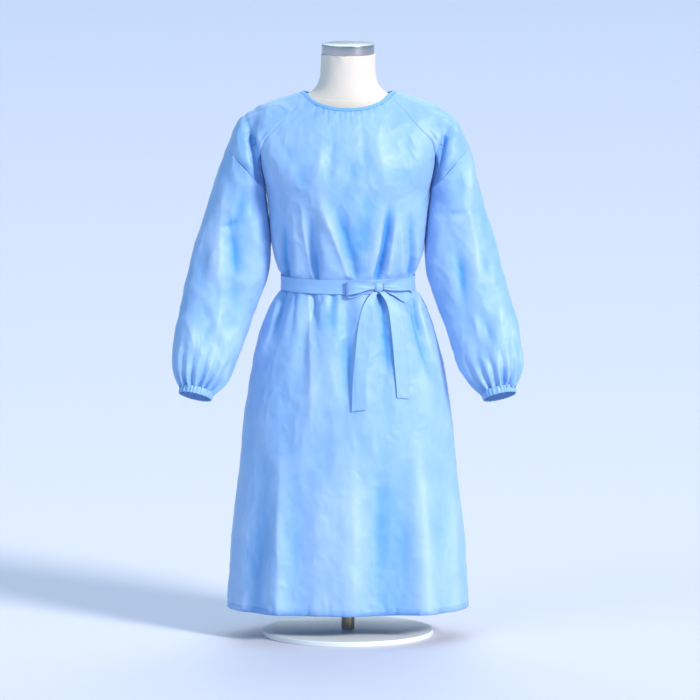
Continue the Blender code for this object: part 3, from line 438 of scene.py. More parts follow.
NECK_DIP = 1.1835  # height of the neckline's seam at the middle of the front
NECK_RISE = 2.75  # how fast it rises to the sides, per metre squared
for place, reach in zip(PUCKER_PLACES, PUCKER_REACH):
    top = NECK_DIP + NECK_RISE * place**2
    BODICE_FRONT += creases(
        (place, top, 1.06 * place, top - reach, 0.0, 0.0030, 0.0050, 0.5, 0.4, 0.0, 0.0, 0.5)
    )
print(len(BODICE_FRONT), "creases on the bodice's front")

# %% [markdown]
# Below the belt the folds fan down and widen, and most are gone by the knee. The skirt below hangs
# in a few broad waves with one or two crisp lines along their crests. The hem is held short in a
# few spots by its stitching, which gives short creases that start at its edge.

# %% Folds of the skirt's front
SKIRT_FRONT = creases(
    (-0.0856, 0.776, -0.090, 0.410, 0.007, 0.008, 0.022, -3.0, -4.8, -1.0, 0.0, 0.5),
    (-0.0770, 0.776, -0.066, 0.640, 0.000, 0.006, 0.014, 4.5, 3.0, 0.0, 0.0, 0.4),
    (-0.117, 0.776, -0.132, 0.640, 0.000, 0.006, 0.012, 3.0, 2.4, 0.0, 0.0, 0.4),
    (-0.139, 0.776, -0.186, 0.640, 0.004, 0.006, 0.012, 3.5, 4.2, 0.0, 0.2, 0.5),
    (-0.152, 0.774, -0.206, 0.600, 0.005, 0.007, 0.012, -2.0, -3.5, 0.0, 0.0, 0.5),
    (-0.060, 0.776, -0.050, 0.700, 0.000, 0.006, 0.012, 2.0, 1.0, 0.0, 0.0, 0.3),
    (-0.034, 0.776, -0.040, 0.660, 0.000, 0.010, 0.018, 3.4, 2.4, 0.0, 0.0, 0.2),
    (-0.003, 0.730, 0.006, 0.490, 0.000, 0.012, 0.018, 1.0, 5.2, 1.0, 0.3, 0.3),
    (0.034, 0.640, 0.044, 0.500, 0.000, 0.014, 0.018, 0.0, -2.4, -1.0, 0.0, 0.2),
    (0.070, 0.774, 0.094, 0.560, 0.000, 0.009, 0.020, 5.0, 5.5, 0.0, -0.2, 0.3),
    (0.128, 0.776, 0.164, 0.660, 0.000, 0.006, 0.012, 2.6, 2.4, 0.0, 0.0, 0.4),
    (0.141, 0.776, 0.205, 0.545, -0.010, 0.007, 0.013, 3.5, 5.2, 0.0, -0.2, 0.5),
    (0.153, 0.774, 0.216, 0.560, -0.008, 0.007, 0.012, -2.2, -4.0, 0.0, 0.0, 0.5),
    (0.170, 0.640, 0.178, 0.480, 0.000, 0.018, 0.024, 0.0, -2.8, -0.6, 0.0, 0.1),
    (-0.150, 0.640, -0.138, 0.430, 0.000, 0.022, 0.030, 0.0, 2.0, 0.6, 0.0, 0.1),
    (-0.060, 0.560, -0.058, 0.300, 0.000, 0.024, 0.034, 0.0, 1.8, 0.6, 0.0, 0.0),
    (0.006, 0.470, 0.012, 0.066, 0.003, 0.028, 0.036, 0.0, -5.0, -3.5, 0.3, 0.2),
    (0.072, 0.540, 0.078, 0.066, -0.004, 0.030, 0.040, 0.6, 3.8, 2.8, -0.5, 0.1),
    (0.148, 0.520, 0.178, 0.066, 0.002, 0.020, 0.024, 0.0, -4.5, -4.0, 0.2, 0.2),
    (0.171, 0.345, 0.180, 0.125, 0.000, 0.004, 0.004, 0.0, -1.1, 0.0, 0.0, 1.0),
    (0.115, 0.380, 0.128, 0.066, 0.000, 0.018, 0.024, 0.0, 1.8, 1.4, 0.0, 0.0),
    (-0.187, 0.520, -0.197, 0.066, 0.000, 0.022, 0.028, 0.0, 3.0, 2.4, 0.2, 0.1),
    (-0.148, 0.500, -0.157, 0.066, 0.000, 0.012, 0.014, 0.0, -2.8, -2.5, 0.0, 0.5),
    (-0.157, 0.345, -0.157, 0.150, 0.000, 0.004, 0.004, 0.0, -1.0, 0.0, 0.0, 1.0),
    (-0.110, 0.420, -0.122, 0.066, 0.000, 0.018, 0.024, 0.0, 1.8, 1.4, 0.0, 0.1),
    (-0.056, 0.420, -0.062, 0.066, -0.002, 0.024, 0.030, 0.0, -3.0, -2.4, 0.0, 0.1),
    (0.225, 0.450, 0.238, 0.066, 0.000, 0.014, 0.018, 0.0, -3.0, -3.0, 0.0, 0.3),
    (-0.226, 0.420, -0.240, 0.066, 0.000, 0.014, 0.018, 0.0, -2.6, -3.0, 0.0, 0.3),
    (-0.020, 0.330, -0.034, 0.180, 0.006, 0.010, 0.012, 0.0, 1.4, 0.0, 0.0, 0.4),
    (0.048, 0.300, 0.030, 0.200, 0.000, 0.008, 0.010, 0.0, -1.2, 0.0, 0.0, 0.6),
)
HEM_PUCKERS = (-0.212, -0.166, -0.088, -0.041, -0.012, 0.052, 0.083, 0.108, 0.152, 0.206)
HEM_PUCKER_REACH = (0.022, 0.034, 0.028, 0.046, 0.020, 0.030, 0.040, 0.026, 0.022, 0.032)
HEM_EDGE = 0.062  # just below the gown's lowest edge, where the hem's creases start


def hem_puckers(places, reaches):
    """Short creases that run up from the hem."""
    rows = []
    for x, up in zip(places, reaches):
        rows.append((x, HEM_EDGE, x, HEM_EDGE + up, 0.0, 0.005, 0.004, 1.8, 1.2, 0.0, 0.0, 0.5))
    return creases(*rows)


SKIRT_FRONT += hem_puckers(HEM_PUCKERS, HEM_PUCKER_REACH)
print(len(SKIRT_FRONT), "creases on the skirt's front")

# %% [markdown]
# The photograph doesn't show the back, so its folds are set by the same cut: the belt gathers it as
# it gathers the front, the skirt hangs in broad waves there too, and the lap down the middle, where
# the cloth is double, hangs plainer than the rest.

# %% Folds of the back
BACK = creases(
    (-0.104, 1.000, -0.090, 0.820, -0.003, 0.012, 0.008, 0.0, -3.0, -2.0, 0.0, 0.6),
    (-0.122, 0.960, -0.128, 0.820, 0.002, 0.012, 0.007, 0.0, 3.2, 4.0, 0.2, 0.3),
    (-0.076, 0.990, -0.074, 0.822, 0.000, 0.018, 0.010, 0.0, 2.6, 2.6, 0.0, 0.2),
    (0.088, 1.010, 0.080, 0.820, 0.003, 0.014, 0.008, 0.0, -2.8, -2.0, 0.0, 0.6),
    (0.106, 0.990, 0.098, 0.820, 0.000, 0.012, 0.007, 0.0, 3.0, 4.0, -0.2, 0.3),
    (0.128, 0.960, 0.118, 0.822, 0.000, 0.010, 0.008, 0.0, -2.4, -2.0, 0.0, 0.5),
    (0.142, 0.960, 0.140, 0.820, 0.000, 0.010, 0.007, 0.0, 3.0, 3.4, 0.0, 0.4),
    (-0.146, 0.940, -0.146, 0.822, 0.000, 0.010, 0.008, 0.0, -2.2, -1.8, 0.0, 0.5),
    (-0.120, 1.060, -0.040, 1.000, -0.006, 0.012, 0.020, 1.4, 2.0, 0.0, 0.0, 0.2),
    (0.126, 1.070, 0.052, 1.010, 0.006, 0.012, 0.020, 1.2, 2.2, 0.0, 0.0, 0.2),
    (-0.030, 0.940, -0.022, 0.822, 0.000, 0.022, 0.012, 0.0, 1.4, 1.4, 0.0, 0.0),
    (0.034, 0.960, 0.030, 0.822, 0.000, 0.018, 0.012, 0.0, -1.4, -1.0, 0.0, 0.2),
    (-0.092, 0.776, -0.116, 0.520, 0.004, 0.007, 0.020, -2.5, -4.4, 0.0, 0.0, 0.5),
    (-0.104, 0.776, -0.142, 0.540, 0.000, 0.007, 0.014, 3.6, 3.4, 0.0, 0.0, 0.4),
    (-0.132, 0.776, -0.188, 0.560, 0.004, 0.007, 0.012, 3.4, 4.0, 0.0, 0.2, 0.5),
    (-0.076, 0.776, -0.076, 0.640, 0.000, 0.008, 0.016, 2.8, 2.0, 0.0, 0.0, 0.3),
    (0.094, 0.776, 0.112, 0.480, -0.004, 0.008, 0.022, -2.6, -4.6, 0.0, 0.0, 0.5),
    (0.110, 0.776, 0.146, 0.560, 0.000, 0.007, 0.014, 3.6, 3.6, 0.0, 0.0, 0.4),
    (0.136, 0.776, 0.192, 0.560, -0.005, 0.007, 0.012, 3.2, 4.4, 0.0, -0.2, 0.5),
    (0.076, 0.776, 0.078, 0.640, 0.000, 0.008, 0.016, 2.6, 2.0, 0.0, 0.0, 0.3),
    (-0.020, 0.776, -0.018, 0.600, 0.000, 0.012, 0.026, 1.6, 2.0, 0.0, 0.0, 0.1),
    (-0.100, 0.500, -0.108, 0.066, 0.000, 0.024, 0.030, 0.0, 5.0, 4.0, 0.2, 0.2),
    (-0.142, 0.480, -0.156, 0.066, 0.000, 0.016, 0.020, 0.0, -3.4, -3.2, 0.0, 0.4),
    (-0.196, 0.500, -0.208, 0.066, 0.000, 0.020, 0.024, 0.0, 4.0, 4.0, 0.0, 0.2),
    (0.098, 0.520, 0.104, 0.066, 0.004, 0.026, 0.030, 0.0, 4.6, 4.0, -0.3, 0.2),
    (0.146, 0.500, 0.162, 0.066, 0.000, 0.018, 0.022, 0.0, -3.8, -3.6, 0.0, 0.3),
    (0.200, 0.460, 0.212, 0.066, 0.000, 0.020, 0.024, 0.0, 4.2, 4.0, 0.0, 0.2),
    (0.016, 0.520, 0.022, 0.066, 0.000, 0.030, 0.040, 0.0, -2.2, -2.4, 0.0, 0.1),
    (-0.232, 0.420, -0.244, 0.066, 0.000, 0.014, 0.018, 0.0, -2.6, -2.8, 0.0, 0.3),
    (0.232, 0.420, 0.244, 0.066, 0.000, 0.014, 0.018, 0.0, -2.8, -2.8, 0.0, 0.3),
)
BACK += hem_puckers(
    (-0.190, -0.122, -0.086, 0.094, 0.140, 0.196), (0.030, 0.024, 0.040, 0.028, 0.036, 0.024)
)
print(len(BACK), "creases on the back")

# %% [markdown]
# Everything on the body moves by one rule, so that the seams stay shut: crumple everywhere, the
# front's creases where the cloth faces forward and the back's where it faces back. The tables give
# the folds' forms, and a gain for the bodice and one for the rest set how deep they all are, which
# is easier to judge in a picture. The cloth keeps still where the belt presses it, under the neck
# binding, and at the underarm, where body and sleeve lie close together.

# %% How the body's cloth moves
belt_low, belt_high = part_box("belt")
BELT_MIDDLE = (belt_low.z + belt_high.z) / 2
BELT_HALF = (belt_high.z - belt_low.z) / 2
UNDERARM = (0.182, 0.0, 1.0)
UNDERARM_STILL = 0.020  # no fold this near to it
UNDERARM_FADE = 0.060
RIDGE_FADE = 0.012  # a ridge sinks over this height above and below the belt
TROUGH_FADE = 0.008
TROUGH_UNDER_BELT = 0.15  # the share of a trough that is left under the belt
NECK_ELLIPSE = (0.107, 0.0905)
NECK_FOOT = 1.150
NECK_FADE = 0.020
BODICE_FOLD_GAIN = 2.2  # the bodice's folds, against the depths in their table
BODY_FOLD_GAIN = 1.6  # the skirt's and the back's


def clear_of_underarm(points):
    mirrored = points.copy()
    mirrored[:, 0] = np.abs(mirrored[:, 0])
    away = np.linalg.norm(mirrored - np.array(UNDERARM), axis=1)
    return ease((away - UNDERARM_STILL) / UNDERARM_FADE)


def clear_of_belt(points, depth):
    """Ridges end at the belt's edges, and troughs run on a little way under it."""
    off = np.abs(points[:, 2] - BELT_MIDDLE)
    ridge = ease((off - BELT_HALF) / RIDGE_FADE)
    beside = ease((off - 0.6 * BELT_HALF) / TROUGH_FADE)
    trough = TROUGH_UNDER_BELT + (1.0 - TROUGH_UNDER_BELT) * beside
    return depth * np.where(depth > 0, trough, ridge)


def clear_of_neck(points):
    """0 on the neckline's ellipse, 1 a little way out from it and anywhere lower down."""
    out = np.hypot(points[:, 0] / NECK_ELLIPSE[0], points[:, 1] / NECK_ELLIPSE[1])
    high = ease((points[:, 2] - NECK_FOOT) / NECK_FADE)
    return 1.0 - high * (1.0 - ease((out - 0.98) / 0.12))


def body_depth(points, normals):
    depth = crumple(points) * clear_of_neck(points)
    depth += BODICE_FOLD_GAIN * creased(points, normals, BODICE_FRONT, -1)
    depth += BODY_FOLD_GAIN * creased(points, normals, SKIRT_FRONT, -1)
    depth += BODY_FOLD_GAIN * creased(points, normals, BACK, 1)
    return clear_of_belt(points, depth) * clear_of_underarm(points)


print("belt from", round(belt_low.z, 3), "to", round(belt_high.z, 3), "m")

# %% [markdown]
# A shoulder piece lies on the body down to the drop seam, so it dents as the body does. Where the
# arm hangs from it, it also has a deep fold of its own that runs down to the underarm. Each sleeve
# has a long crest down its outer side, a crisp crease across the upper arm, and soft dents below.
# The photograph gives the rows of the front, and those of the back are like them.

# %% Folds of the shoulders and sleeves
SHOULDER = creases(
    (-0.226, 1.160, -0.192, 1.030, 0.006, 0.005, 0.012, 2.0, 7.0, 5.0, 0.3, 0.5),
    (-0.212, 1.160, -0.184, 1.060, 0.004, 0.006, 0.008, 0.0, -2.6, -1.5, 0.0, 0.4),
    (-0.246, 1.150, -0.232, 1.085, 0.000, 0.008, 0.010, 0.6, 2.0, 0.4, 0.0, 0.3),
    (-0.196, 1.176, -0.232, 1.186, 0.000, 0.006, 0.008, 0.6, 1.6, 0.2, 0.0, 0.4),
    (0.230, 1.156, 0.190, 1.030, -0.008, 0.005, 0.012, 2.0, 7.0, 5.0, -0.3, 0.5),
    (0.214, 1.156, 0.184, 1.060, -0.004, 0.006, 0.008, 0.0, -2.6, -1.5, 0.0, 0.4),
    (0.250, 1.140, 0.236, 1.080, 0.000, 0.008, 0.010, 0.6, 2.0, 0.4, 0.0, 0.3),
    (0.198, 1.178, 0.236, 1.180, 0.000, 0.006, 0.008, 0.6, 1.6, 0.2, 0.0, 0.4),
)
SLEEVE_LEFT_FRONT = creases(
    (-0.272, 1.050, -0.286, 0.720, -0.004, 0.014, 0.022, -0.5, -4.0, -1.0, 0.3, 0.4),
    (-0.268, 0.926, -0.238, 0.936, 0.000, 0.006, 0.010, 2.6, 2.4, 0.0, 0.0, 0.7),
    (-0.262, 0.920, -0.252, 0.800, 0.004, 0.008, 0.018, 2.0, 3.4, 0.0, -0.3, 0.5),
    (-0.238, 0.938, -0.206, 0.955, 0.000, 0.010, 0.012, 0.0, -2.0, 0.0, 0.0, 0.4),
    (-0.230, 1.020, -0.246, 0.900, 0.000, 0.012, 0.016, 0.0, 2.6, 0.0, 0.0, 0.2),
    (-0.238, 0.900, -0.262, 0.700, 0.000, 0.020, 0.024, 0.0, 2.4, 0.6, 0.0, 0.1),
    (-0.300, 0.820, -0.286, 0.750, 0.004, 0.012, 0.010, 0.0, 2.4, 0.0, 0.0, 0.4),
    (-0.326, 0.760, -0.292, 0.700, -0.005, 0.010, 0.012, 0.0, 2.0, 0.0, 0.0, 0.4),
    (-0.300, 0.716, -0.332, 0.672, 0.006, 0.010, 0.012, 0.6, 2.4, 0.0, 0.0, 0.5),
    (-0.276, 0.770, -0.300, 0.660, 0.000, 0.012, 0.016, 0.0, -3.0, 0.0, 0.0, 0.3),
    (-0.340, 0.730, -0.346, 0.640, 0.000, 0.012, 0.014, 0.0, -2.2, 0.0, 0.0, 0.3),
    (-0.316, 0.880, -0.330, 0.780, 0.000, 0.014, 0.016, 0.0, 2.2, 0.0, 0.0, 0.2),
)
SLEEVE_RIGHT_FRONT = creases(
    (0.266, 1.090, 0.268, 0.955, 0.003, 0.010, 0.010, -0.4, -2.8, -1.5, 0.3, 0.5),
    (0.204, 0.953, 0.270, 0.958, -0.002, 0.007, 0.006, 1.2, 3.0, 1.4, 0.3, 0.7),
    (0.214, 0.938, 0.262, 0.940, 0.000, 0.012, 0.012, 0.0, -2.4, 0.0, 0.0, 0.3),
    (0.268, 0.955, 0.296, 0.740, 0.004, 0.014, 0.024, -1.4, -3.4, -0.8, 0.4, 0.3),
    (0.238, 0.910, 0.262, 0.720, 0.000, 0.016, 0.022, 0.0, 4.4, 1.0, -0.2, 0.3),
    (0.218, 0.860, 0.244, 0.720, 0.000, 0.012, 0.014, 0.0, -2.2, 0.0, 0.0, 0.3),
    (0.300, 0.880, 0.322, 0.800, 0.000, 0.014, 0.014, 0.0, 2.2, 0.0, 0.0, 0.3),
    (0.312, 0.800, 0.286, 0.752, -0.005, 0.010, 0.012, 0.0, 2.2, 0.0, 0.0, 0.5),
    (0.330, 0.770, 0.346, 0.660, 0.000, 0.012, 0.014, 0.0, -2.6, 0.0, 0.0, 0.3),
    (0.296, 0.730, 0.318, 0.650, 0.004, 0.012, 0.012, 0.4, 3.0, 0.0, 0.0, 0.3),
    (0.272, 0.760, 0.300, 0.640, 0.000, 0.010, 0.012, 0.0, -2.4, 0.0, 0.0, 0.4),
    (0.252, 1.060, 0.236, 0.985, 0.000, 0.012, 0.012, 0.6, 1.6, 0.0, 0.0, 0.2),
)
SLEEVE_LEFT_BACK = creases(
    (-0.262, 1.040, -0.280, 0.740, -0.004, 0.016, 0.022, -0.5, -3.8, -1.0, 0.2, 0.3),
    (-0.212, 0.930, -0.276, 0.915, 0.006, 0.010, 0.010, 1.4, 2.8, 0.4, 0.0, 0.5),
    (-0.238, 0.860, -0.262, 0.700, 0.000, 0.018, 0.022, 0.0, 4.0, 0.6, 0.0, 0.2),
    (-0.306, 0.840, -0.276, 0.790, 0.004, 0.012, 0.012, 0.0, 2.4, 0.0, 0.0, 0.4),
    (-0.326, 0.770, -0.296, 0.700, 0.000, 0.012, 0.012, 0.0, 2.6, 0.0, 0.0, 0.3),
    (-0.284, 0.750, -0.310, 0.640, 0.000, 0.012, 0.014, 0.0, -2.8, 0.0, 0.0, 0.3),
)
SLEEVE_RIGHT_BACK = creases(
    (0.260, 1.050, 0.284, 0.760, 0.005, 0.016, 0.022, -0.5, -3.6, -1.0, -0.2, 0.3),
    (0.208, 0.900, 0.280, 0.880, -0.006, 0.010, 0.010, 1.2, 2.8, 0.4, 0.0, 0.5),
    (0.236, 0.850, 0.268, 0.690, 0.000, 0.018, 0.022, 0.0, 4.0, 0.6, 0.0, 0.2),
    (0.304, 0.850, 0.284, 0.780, -0.004, 0.012, 0.012, 0.0, 2.2, 0.0, 0.0, 0.4),
    (0.330, 0.760, 0.300, 0.690, 0.000, 0.012, 0.012, 0.0, 2.6, 0.0, 0.0, 0.3),
    (0.286, 0.740, 0.314, 0.640, 0.000, 0.012, 0.014, 0.0, -2.8, 0.0, 0.0, 0.3),
)
sleeve_rows = len(SLEEVE_LEFT_FRONT + SLEEVE_LEFT_BACK), len(SLEEVE_RIGHT_FRONT + SLEEVE_RIGHT_BACK)
print(len(SHOULDER), "creases on the shoulders,", sleeve_rows, "on the sleeves")

# %% [markdown]
# The cuffs hang at a slant, as the arms do. What lies round a cuff is easiest to place by its
# height above the cuff's top, its angle round the arm and its distance from the arm's middle line.
# The cuff's own solid gives that line: it is the way along which its points spread least.

# %% Where the cuffs lie
class CuffPlace:
    """Where a cuff lies: its middle, the way down the arm, and how far its top is from there."""

    def __init__(self, node):
        points = points_of(frame["nodes"][node].data)
        self.middle = points.mean(axis=0)
        _, ways = np.linalg.eigh(np.cov((points - self.middle).T))
        self.down = ways[:, 0] * -np.sign(ways[2, 0])
        side = np.array((np.sign(self.middle[0]), 0.0, 0.0))
        outward = side - self.down * (side @ self.down)
        self.outward = outward / np.linalg.norm(outward)
        self.forward = np.cross(self.outward, self.down) * side[0]
        along = (points - self.middle) @ self.down
        self.half = (along.max() - along.min()) / 2
        across = points - self.middle - along[:, None] * self.down
        self.radius = np.linalg.norm(across, axis=1).max()

    def polar(self, points):
        """Each point's height above the cuff's top, angle round it and distance from its axis."""
        offset = points - self.middle
        x, y = offset @ self.outward, offset @ self.forward
        return -(offset @ self.down) - self.half, np.arctan2(y, x), np.hypot(x, y)


CUFFS = {side: CuffPlace("cuff_" + side) for side in ("left", "right")}
for side, cuff in CUFFS.items():
    print(side, "cuff: radius", round(cuff.radius, 4), "half length", round(cuff.half, 4))

# %% [markdown]
# The sleeves hang full and are gathered into the cuffs. The gathers are narrow troughs that fan up
# from the cuff, uneven in length and depth: two or three reach a hand's width, the rest end soon.
# They come from a seeded random row of places, because twenty of them by hand would look no
# better. Below the underarm the sleeve's inner side leans towards the body, as in the photograph.

# %% How a sleeve's cloth moves
SLEEVE_CRUMPLE_GAIN = 1.2
SLEEVE_FOLD_GAIN = 1.8
SLEEVE_END_FADE = 0.050  # the crumple and the folds end over this height above the cuff
BODY_TOUCH = 0.0016  # how far the sleeve's inner side leans towards the body
TOUCH_FROM = 0.875
TOUCH_TO = 0.985
TOUCH_FADE = 0.030
GATHER_COUNT = 21
GATHER_DEPTHS = (0.0016, 0.0036)
GATHER_REACHES = (0.012, 0.068)
GATHER_WIDTH = 0.0024  # at the cuff
GATHER_SPREAD = 0.10  # how much wider it gets, per metre of height
GATHER_JITTER = 0.28  # how far a gather strays from its even place, in gathers
GATHER_DRIFT = 2.2  # how far it turns round the arm on its way up, radians per metre
GATHER_FROM = -0.001  # it starts just under the cuff's top
GATHER_FADE = 0.006


def gather_depth(points, cuff, seed):
    """Uneven gathers that fan up the sleeve from its cuff."""
    random = np.random.RandomState(seed)
    above, angle, away = cuff.polar(points)
    short, far = GATHER_REACHES
    depth = np.zeros(len(points))
    for i in range(GATHER_COUNT):
        place = 2 * math.pi * (i + random.uniform(-GATHER_JITTER, GATHER_JITTER)) / GATHER_COUNT
        reach = short + (far - short) * random.uniform() ** 1.6
        deep = random.uniform(*GATHER_DEPTHS)
        drift = random.uniform(-GATHER_DRIFT, GATHER_DRIFT)
        turn = (angle - place - drift * above + math.pi) % (2 * math.pi) - math.pi
        width = GATHER_WIDTH + GATHER_SPREAD * np.maximum(above, 0.0)
        trough = np.exp(-((turn * away / width) ** 2))
        begin = ease((above - GATHER_FROM) / GATHER_FADE)
        depth += deep * trough * (1.0 - ease(above / reach)) * begin
    return depth


def towards_body(points, normals):
    """1 where the sleeve's inner side lies along the body, just below the underarm."""
    facing = -np.sign(points[:, 0]) * normals[:, 0]
    z = points[:, 2]
    high = ease((z - TOUCH_FROM) / TOUCH_FADE) * ease((TOUCH_TO - z) / TOUCH_FADE)
    return high * ease((facing - 0.70) / 0.25)


SLEEVE_FOLDS = {
    # side: creases in front, creases behind, the gathers' seed
    "left": (SLEEVE_LEFT_FRONT, SLEEVE_LEFT_BACK, 21),
    "right": (SLEEVE_RIGHT_FRONT, SLEEVE_RIGHT_BACK, 34),
}


def sleeve_depth(side):
    front, behind, seed = SLEEVE_FOLDS[side]

    def depth_at(points, normals):
        depth = SLEEVE_CRUMPLE_GAIN * crumple(points)
        folds = creased(points, normals, front, -1) + creased(points, normals, behind, 1)
        depth += SLEEVE_FOLD_GAIN * folds
        above, _, _ = CUFFS[side].polar(points)
        depth *= ease(above / SLEEVE_END_FADE)
        inner = towards_body(points, normals)
        depth = depth * (1.0 - inner) * clear_of_underarm(points) - BODY_TOUCH * inner
        return depth + gather_depth(points, CUFFS[side], seed)

    return depth_at


print(GATHER_COUNT, "gathers on each sleeve")

# %% [markdown]
# Sewn edges turn in. A panel's seam edge rolls in slightly and then runs in by a few millimetres, as
# a seam allowance does, so that no light shows through a seam. The lower end of a sleeve goes down
# inside its cuff instead. The hem and the free edges of the back are open edges and stay as they
# are. In bmesh this is one extrusion of the open edges, whose new points are then moved.

# %% Seam allowances
SEAM_ROLL = 0.0003
SEAM_TURN_IN = 0.0025
CUFF_TUCK_IN = 0.0034  # the sleeve's end goes this far in along the cloth's normal
CUFF_TUCK_DOWN = 0.0070  # and this far down inside the cuff
NO_CUFF = 1.0  # a height above any cuff, for a panel that has none
HEM_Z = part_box("front")[0].z
HEM_SEARCH = 0.006  # edges this near to the lowest point are the hem's
BACK_SEARCH = 0.05  # the back's free edges lie further back than this
FREE_EDGE_X = 0.062
FREE_EDGE_TOP = 1.185


def is_seam(edge):
    """A panel's open edge that is sewn to its neighbour, and isn't a hem or the back's free edge."""
    ends = [vert.co for vert in edge.verts]
    if all(end.z < HEM_Z + HEM_SEARCH for end in ends):
        return False
    on_back = all(end.y > BACK_SEARCH and end.z < FREE_EDGE_TOP for end in ends)
    return not (on_back and all(abs(end.x) < FREE_EDGE_X for end in ends))


def turn_in_seams(piece, cuff=None):
    work = bmesh.new()
    work.from_mesh(piece.data)
    work.normal_update()
    seams = [edge for edge in work.edges if edge.is_boundary and is_seam(edge)]
    ends = {vert for edge in seams for vert in edge.verts}
    inward = {vert: -vert.normal.copy() for vert in ends}
    for vert in ends:
        vert.co += inward[vert] * SEAM_ROLL
    made = bmesh.ops.extrude_edge_only(work, edges=seams)["geom"]
    for vert in [item for item in made if isinstance(item, bmesh.types.BMVert)]:
        root = next(e.other_vert(vert) for e in vert.link_edges if e.other_vert(vert) in ends)
        above = cuff.polar(np.array(root.co)[None])[0][0] if cuff else NO_CUFF
        if above < CUFF_TUCK_DOWN:
            vert.co += inward[root] * CUFF_TUCK_IN + Vector(cuff.down) * CUFF_TUCK_DOWN
        else:
            vert.co += inward[root] * SEAM_TURN_IN
    work.to_mesh(piece.data)
    work.free()


print("hem at", round(HEM_Z, 4), "m, seam allowance", 1000 * SEAM_TURN_IN, "mm")

# %% [markdown]
# A panel of cloth is made in the same steps each time: the outer side of its solid, subdivided,
# then moved in and out along its normals by the folds. Solidify then gives the cloth a real
# thickness. How deep each point lies in a fold is kept as an attribute of the mesh, and the material
# reads it to paint shade, a deeper blue, into the troughs and a painted highlight, a paler blue,
# onto the ridges, as light bouncing from cloth to cloth would give. The hem is stitched along one
# level line, so edges are cut in there.

# %% Making a panel
CLOTH_THICKNESS = 0.0005
# A fold's depth sets its painted shade; a trough this deep gets the full painted shade.
FOLD_OF_FULL_PAINTED_SHADE = 0.0085  # a trough this deep shows the deepest blue
HEM_HEIGHT = 0.0140
HEM_GROOVE = 0.0004
HEM_GROOVE_HALF = 0.0012  # half the width of the groove along the stitches
ON_STITCHES = 0.0003  # points this near to the line lie on it
BELOW_STITCHES = 0.0008
HEM_SWELL = 0.0003  # the doubled hem below the line stands this much prouder


def cut_level_lines(piece, heights):
    """Adds edges where the piece crosses the given heights, so that a narrow form has points."""
    work = bmesh.new()
    work.from_mesh(piece.data)
    for height in heights:
        everything = work.verts[:] + work.edges[:] + work.faces[:]
        bmesh.ops.bisect_plane(work, geom=everything, plane_co=(0, 0, height), plane_no=(0, 0, 1))
    work.to_mesh(piece.data)
    work.free()


def solidify(piece, thickness):
    shell = piece.modifiers.new("thickness", "SOLIDIFY")
    shell.thickness = thickness
    shell.offset = -1.0
    shell.use_even_offset = False
    apply_modifiers(piece)


def triangles(piece):
    piece.data.calc_loop_triangles()
    return len(piece.data.loop_triangles)


def keep_fold_for_painted_shade(piece, depth):
    """How deep each point lies in a fold, -1 on a ridge to 1 in a trough, for the material's painted
    shade and highlight.
    """
    fold = piece.data.attributes.new("fold", "FLOAT", "POINT")
    fold.data.foreach_set("value", np.clip(depth / FOLD_OF_FULL_PAINTED_SHADE, -1.0, 1.0).astype(np.float32))


def cloth_panel(node, name, level, depth_at, hemmed=False, cuff=None):
    piece = cage_of(node, name, outside_only=True)
    subdivide_through(piece, level)
    if hemmed:
        stitch = HEM_Z + HEM_HEIGHT
        cut_level_lines(piece, (stitch - HEM_GROOVE_HALF, stitch, stitch + HEM_GROOVE_HALF))
    points, normals = points_of(piece.data), normals_of(piece.data)
    depth = depth_at(points, normals)
    if hemmed:
        above = points[:, 2] - stitch
        depth += HEM_GROOVE * (np.abs(above) < ON_STITCHES) - HEM_SWELL * (above < -BELOW_STITCHES)
    keep_fold_for_painted_shade(piece, depth)
    set_points(piece.data, points - normals * depth[:, None])
    turn_in_seams(piece, cuff)
    solidify(piece, CLOTH_THICKNESS)
    piece.data.shade_smooth()
    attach(piece, "root")
    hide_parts(node)
    print(name, triangles(piece), "triangles")
    return piece


print("the doubled hem is", 1000 * HEM_HEIGHT, "mm high")

# %% [markdown]
# The seven panels of the gown: a front, two backs that lap over each other, two shoulder pieces and
# two sleeves. Three levels of subdivision give squares of three to four millimetres, which carry
# the folds and keep the mesh light. The loop makes the same three panels on each side.

# %% The panels
SMOOTH_LEVEL = 3


def shoulder_depth(points, normals):
    """A shoulder piece follows the body, with narrow folds of its own away from its seams."""
    own = creased(points, normals, SHOULDER, -1) + creased(points, normals, SHOULDER, 1)
    return body_depth(points, normals) + own * clear_of_underarm(points)


panels = [cloth_panel("front", "gown_front", SMOOTH_LEVEL, body_depth, hemmed=True)]
for side, cuff in CUFFS.items():
    for node, depth_at, hemmed in (
        ("back_" + side, body_depth, True),
        ("shoulder_" + side, shoulder_depth, False),
        ("sleeve_" + side, sleeve_depth(side), False),
    ):
        end = cuff if node.startswith("sleeve") else None
        name = "gown_" + node
        panels.append(cloth_panel(node, name, SMOOTH_LEVEL, depth_at, hemmed, end))

# %% [markdown]
# The cuff is a short tube of doubled cloth drawn together by elastic, so it stands in narrow ribs
# that are never quite regular. It is worked out as one closed grid: down the outside, round the
# lower fold, and up the inside. A grid of computed points is chosen over the model's own solid,
# because the ribs need far more columns than that has. The ribs are a wave round the cuff. A few
# slower waves of random strength shift it to and fro, so that some ribs stand close and others
# apart, and it sways a little on its way down. The ribs are lower at the top and at the fold, where
# the cloth is held.

# %% Cuffs
CUFF_RIBS = 30
CUFF_COLUMNS = 8 * CUFF_RIBS
CUFF_ROWS = 9
CUFF_WALL = 0.0012
RIB_HEIGHT = 0.0009
RIB_LEAN = 0.12  # how far a rib sways on its way down, in radians of the wave
CUFF_BULGE = 0.0008


